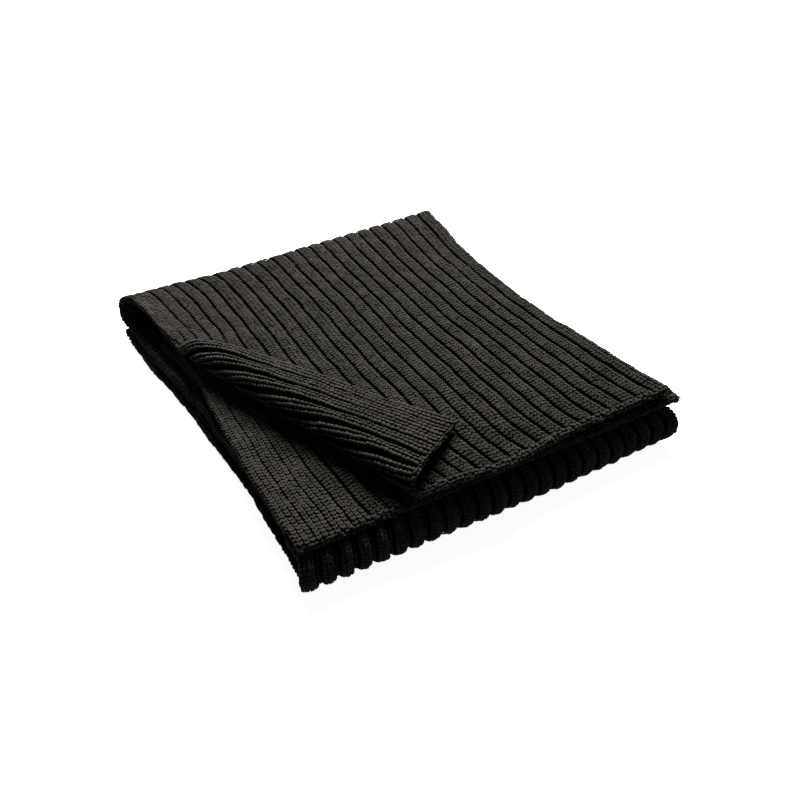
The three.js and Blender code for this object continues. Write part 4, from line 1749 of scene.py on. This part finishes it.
@dataclass
class Scarf:
    """The whole folded scarf.

    seen_edge is how far in from the left selvage a hidden leaf shows, and seen_right where it shows again.
    The stitches start first_row from a free end. The second leaf shows beside the roll, at its end and at its
    sides. hollow is how far in from the left the back fold shows its inner face.
    """

    seen_edge: dict[Layer, float] = field(
        default_factory=lambda: {Layer.THIRD: 0.12, Layer.FOURTH: 0.07, Layer.SIXTH: 0.04}
    )
    seen_right: float = 0.96
    hidden_rows_from: float = 20.0
    first_row: float = 1.6
    seen_beside_roll: float = 8.0
    seen_at_end: float = 22.0
    seen_at_side: float = 0.06
    fold_from: float = 0.5
    past_fold: float = 6.0
    before_fold: float = 4.0
    hollow: float = 0.14
    frays: tuple[float, ...] = (-0.3, 0.1, 0.45, 0.9, 1.3)

    def __post_init__(self) -> None:
        """Prepares the yarn, the beads and the gauge."""
        self.yarn = yarn_material(STITCH_FINISH)
        # The cloth's wall gets painted shade, nearly black, in place of the shade between the stitches
        self.shade = yarn_material(GROUND_PAINTED_SHADE)
        self.beads = Beads()
        self.ground = Ground()
        self.knit = Stitching()
        self.edging = Edging()
        self.random = np.random.default_rng(self.knit.seed)

    def own(self, piece: bpy.types.Object) -> bpy.types.Object:
        """Gives a piece its body, and reports it.

        Args:
            piece: The new piece.

        Returns:
            The same piece.
        """
        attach(piece, "root")
        triangles = len(piece.data.loops) - 2 * len(piece.data.polygons)
        LOG.info("%s: %d triangles", piece.name, triangles)
        return piece

    def stitches(
        self, name: str, stretch: Stretch, sites: Sites, side: Side = Side.KNIT
    ) -> bpy.types.Object:
        """Lays stitches on a stretch of the cloth.

        Args:
            name: The piece's name.
            stretch: Where the cloth runs.
            sites: Where the stitches lie on it.
            side: Which face they lie on, and which way they are worked.

        Returns:
            The finished piece.
        """
        make = self.knit.legs if side is Side.KNIT else self.knit.bumps
        local = make(self.beads, sites.width, self.random)
        inside = side is Side.INSIDE
        face = stretch.reverse(sites.u, sites.v) if inside else stretch.face(sites.u, sites.v)
        face.point = face.point - face.outward * self.knit.sunk
        count, each, points = local.shape[:3]
        world = face.carry(local.reshape(count, each * points, 3))
        return self.lay(name, world.reshape(count * each, points, 3))

    def lay(self, name: str, beads: Array) -> bpy.types.Object:
        """Joins beads of yarn into a piece of the scarf."""
        return self.own(self.beads.lay(name, beads, self.yarn))

    def selvages(self, stretch: Stretch) -> bpy.types.Object:
        """Lays the chain of long loops along both side edges.

        Args:
            stretch: Where the cloth runs.

        Returns:
            The finished piece.
        """
        sides = [self.edging.side(stretch, edge, self.beads, self.random) for edge in (0, 1)]
        loops = np.concatenate([side for side in sides if side is not None])
        return self.lay(f"{stretch.name}_selvages", loops)

    def free_end(self, stretch: Stretch, ribs: float, start_u: float = 0.0) -> bpy.types.Object:
        """Lays the chains of loops that close a free end of the knit.

        Args:
            stretch: Where the cloth runs.
            ribs: Where the free end stops, in ribs from the left selvage.
            start_u: Where it starts across the cloth.

        Returns:
            The finished piece.
        """
        step = self.knit.wale / WIDTH
        u = np.arange(start_u + step / 2, ribs / RIBS, step)
        loops = self.edging.closing(stretch, u, self.knit.wale, self.beads, self.random)
        return self.lay(f"{stretch.name}_end_loops", loops)

    def loose_ends(self, stretch: Stretch, corner: float) -> bpy.types.Object:
        """Lays short loose lengths of yarn at a corner of a free end."""
        strands = self.edging.frayed(stretch, corner, self.frays, self.beads, self.random)
        return self.lay(f"{stretch.name}_loose_ends", strands)

    def spread(
        self, stretch: Stretch
    ) -> None:
        """Hides the node that a full-width stretch stands for.

        Args:
            stretch: Where the cloth runs.
        """
        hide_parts(stretch.node)

    def top_leaf(self) -> None:
        """Builds the top leaf with its stitches, selvages and free end."""
        leaf = TopLeaf()
        cloth = self.own(self.ground.build(leaf, self.shade))
        pieces = [self.selvages(leaf), self.free_end(leaf, RIBS, CORNER_RIBS / RIBS)]
        sites = self.knit.sites(leaf, RIBS, self.first_row, leaf.length)
        sites = sites.where(leaf.first(sites.u) <= sites.v)
        for side, half in (("left", sites.u < 0.5), ("right", sites.u >= 0.5)):
            pieces.append(self.stitches(f"top_leaf_stitches_{side}", leaf, sites.where(half)))
        valleys = self.knit.valleys(leaf, self.first_row, leaf.length)
        valleys = valleys.where(leaf.first(valleys.u) <= valleys.v)
        pieces.append(self.stitches("top_leaf_valleys", leaf, valleys, Side.PURL))
        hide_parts(leaf.node)

    def turned_corner(self) -> None:
        """Builds the turned corner, with the reverse of the knit outwards."""
        flap = TurnedCorner()
        cloth = self.own(self.ground.build(flap, self.shade, CORNER_RIBS))
        sites = self.knit.sites(flap, CORNER_RIBS, self.first_row, flap.length)
        sites = sites.where((sites.v <= flap.last(sites.u)) & (sites.u < CORNER_RIBS / RIBS))
        bumps = self.stitches("turned_corner_stitches", flap, sites, Side.PURL)
        edges = self.selvages(flap)
        end = self.free_end(flap, CORNER_RIBS)
        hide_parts(flap.node)

    def fold(self, stretch: Stretch, rows: tuple[float, float], hollow: float = 0.0) -> None:
        """Builds one of the rounded folds.

        Args:
            stretch: Where the cloth runs.
            rows: Between which distances along it the stitches show.
            hollow: How far in from the left selvage the inner face shows.
        """
        cloth = self.own(self.ground.build(stretch, self.shade))
        sites = self.knit.sites(stretch, RIBS, *rows)
        valleys = self.knit.valleys(stretch, *rows)
        pieces = [
            self.stitches(f"{stretch.name}_stitches", stretch, sites),
            self.stitches(f"{stretch.name}_valleys", stretch, valleys, Side.PURL),
            self.selvages(stretch),
        ]
        if hollow:
            sites = self.knit.sites(stretch, RIBS, 0.0, stretch.length)
            seen = sites.where(sites.u < hollow)
            pieces.append(self.stitches(f"{stretch.name}_inner_stitches", stretch, seen, Side.INSIDE))
        self.spread(stretch)

    def second_leaf(self) -> None:
        """Builds the second leaf, with stitches where it shows."""
        leaf = SecondLeaf()
        cloth = self.own(self.ground.build(leaf, self.shade))
        frayed = self.loose_ends(leaf, 1.0)
        pieces = [self.selvages(leaf), self.free_end(leaf, RIBS), frayed]
        for name, found, side in (
            ("second_leaf_stitches", self.knit.sites(leaf, RIBS, self.first_row, leaf.length), Side.KNIT),
            ("second_leaf_valleys", self.knit.valleys(leaf, self.first_row, leaf.length), Side.PURL),
        ):
            place = leaf.middle(found.u, found.v)
            beside_roll = from_corner(place[:, 0], place[:, 1]) < ROLL_START + self.seen_beside_roll
            at_side = (found.u < self.seen_at_side) | (found.u > 1 - self.seen_at_side)
            seen = found.where(beside_roll | (found.v < self.seen_at_end) | at_side)
            pieces.append(self.stitches(name, leaf, seen, side))
        self.spread(leaf)

    def hidden_leaf(self, layer: Layer) -> None:
        """Builds one of the hidden leaves, with stitches along the edges that show.

        Args:
            layer: Which leaf it is.
        """
        leaf = HiddenLeaf(layer=layer)
        cloth = self.own(self.ground.build(leaf, self.shade))
        pieces = [self.selvages(leaf)]
        if layer in self.seen_edge:
            sites = self.knit.sites(leaf, RIBS, self.hidden_rows_from, leaf.length)
            shown = sites.where((sites.u < self.seen_edge[layer]) | (sites.u > self.seen_right))
            pieces.append(self.stitches(f"{leaf.name}_stitches", leaf, shown))
        self.spread(leaf)

    def build(self) -> None:
        """Builds every stretch, from the top of the stack down."""
        self.top_leaf()
        self.turned_corner()
        back = BackFold()
        self.fold(back, (self.fold_from, back.round.leg_in + back.round.arc + self.past_fold), self.hollow)
        self.second_leaf()
        front = FrontFold()
        self.fold(front, (front.leg - self.before_fold, front.leg + front.round.arc + self.past_fold))
        for layer in Layer:
            self.hidden_leaf(layer)
        lower = LowerFold()
        self.fold(lower, (self.fold_from, lower.length))


@dataclass(frozen=True)
class Studio:
    """A white sweep, soft light from above and behind, and the camera at the photograph's angle."""

    azimuth: float = -31.0
    elevation: float = 38.5
    distance: float = 0.620
    focal_px: float = 935.0
    frame_px: float = 800.0
    target_x: float = 3.0
    target_y: float = -22.0
    lamp_colour: tuple[float, float, float] = (1.0, 0.965, 0.9)
    sensor_mm: float = 36.0
    lamp_place: tuple[float, float, float] = (0.78, 1.4, 1.6)
    lamp_size: float = 1.35
    lamp_watts: float = 200.0
    floor_glow: float = 0.38
    sky_glow: float = 0.08
    glow_from: float = -0.25
    glow_to: float = 0.1
    floor_colour: str = "#bdbdbd"
    floor_roughness: float = 0.45
    floor_emission: float = 0.94
    floor_steps: int = 48
    floor_weld: float = 1e-5
    sweep: tuple[tuple[float, float], ...] = (
        (0, 0),
        (3.5, 0),
        (4.6, 0.25),
        (5.3, 0.9),
        (5.6, 2.0),
        (5.7, 6.0),
    )

    def floor(self) -> None:
        """Lays the pale floor, which sweeps up all round."""
        shape = bmesh.new()
        rim = [shape.verts.new((radius, 0.0, height)) for radius, height in self.sweep]
        line = [shape.edges.new(pair) for pair in zip(rim, rim[1:])]
        bmesh.ops.spin(
            shape,
            geom=[*rim, *line],
            cent=(0, 0, 0),
            axis=(0, 0, 1),
            angle=2 * math.pi,
            steps=self.floor_steps,
            use_merge=True,
        )
        bmesh.ops.remove_doubles(shape, verts=shape.verts, dist=self.floor_weld)
        bmesh.ops.recalc_face_normals(shape, faces=shape.faces)
        for face in shape.faces:
            face.smooth = True
        mesh = bpy.data.meshes.new("floor")
        shape.to_mesh(mesh)
        shape.free()
        material = bpy.data.materials.new("painted_sweep")
        material.use_nodes = True
        shader = material.node_tree.nodes["Principled BSDF"]
        shader.inputs["Base Color"].default_value = linear(self.floor_colour)
        shader.inputs["Roughness"].default_value = self.floor_roughness
        shader.inputs["Emission Color"].default_value = (1.0, 1.0, 1.0, 1.0)
        shader.inputs["Emission Strength"].default_value = self.floor_emission
        floor = new_object("floor", mesh, material)
        floor.visible_diffuse = False
        floor.visible_glossy = False

    def light(self, name: str) -> None:
        """Hangs the square softbox, which faces the scarf.

        Args:
            name: The lamp's name.
        """
        lamp = bpy.data.lights.new(name, "AREA")
        lamp.shape = "SQUARE"
        lamp.size = self.lamp_size
        lamp.energy = self.lamp_watts
        lamp.color = self.lamp_colour
        box = bpy.data.objects.new(name, lamp)
        box.location = self.lamp_place
        box.rotation_euler = (-Vector(self.lamp_place)).to_track_quat("-Z", "Y").to_euler()
        bpy.context.scene.collection.objects.link(box)

    def build(self) -> None:
        """Sets the floor, the light, the world and the camera."""
        self.floor()
        self.light("top_softbox")
        scene = bpy.context.scene
        world = scene.world or bpy.data.worlds.new("studio")
        scene.world = world
        world.use_nodes = True
        tree = world.node_tree
        tree.nodes.clear()
        place = add_node(tree, "ShaderNodeTexCoord", {}, {}).outputs["Generated"]
        height = add_node(tree, "ShaderNodeSeparateXYZ", {}, {"Vector": place}).outputs["Z"]
        glow = add_node(
            tree,
            "ShaderNodeMapRange",
            {},
            {
                "Value": height,
                "From Min": self.glow_from,
                "From Max": self.glow_to,
                "To Min": self.floor_glow,
                "To Max": self.sky_glow,
            },
        )
        background = add_node(
            tree,
            "ShaderNodeBackground",
            {},
            {"Color": (1.0, 1.0, 1.0, 1.0), "Strength": glow.outputs["Result"]},
        )
        add_node(tree, "ShaderNodeOutputWorld", {}, {"Surface": background.outputs[0]})
        scene.view_settings.view_transform = "Standard"
        lens = bpy.data.cameras.new("camera")
        lens.sensor_width = self.sensor_mm
        lens.lens = self.focal_px / self.frame_px * lens.sensor_width
        camera = bpy.data.objects.new("camera", lens)
        azimuth, elevation = math.radians(self.azimuth), math.radians(self.elevation)
        back = Vector(
            (
                math.sin(azimuth) * math.cos(elevation),
                -math.cos(azimuth) * math.cos(elevation),
                math.sin(elevation),
            )
        )
        target = Vector(to_frame(np.array([self.target_x, self.target_y, 0.0])))
        camera.location = target + back * self.distance
        camera.rotation_euler = back.to_track_quat("Z", "Y").to_euler()
        scene.collection.objects.link(camera)
        scene.camera = camera


def report_total() -> None:
    """Reports how many triangles the whole scene holds."""
    meshes = [piece.data for piece in bpy.data.objects if piece.type == "MESH"]
    LOG.info("all meshes: %d triangles", sum(len(m.loops) - 2 * len(m.polygons) for m in meshes))


def main() -> None:
    """Builds the scarf round the frame, and lights it."""
    logging.basicConfig(level=logging.INFO, format="%(name)s: %(message)s")
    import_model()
    Studio().build()
    Scarf().build()
    report_total()


if __name__ == "__main__":
    main()
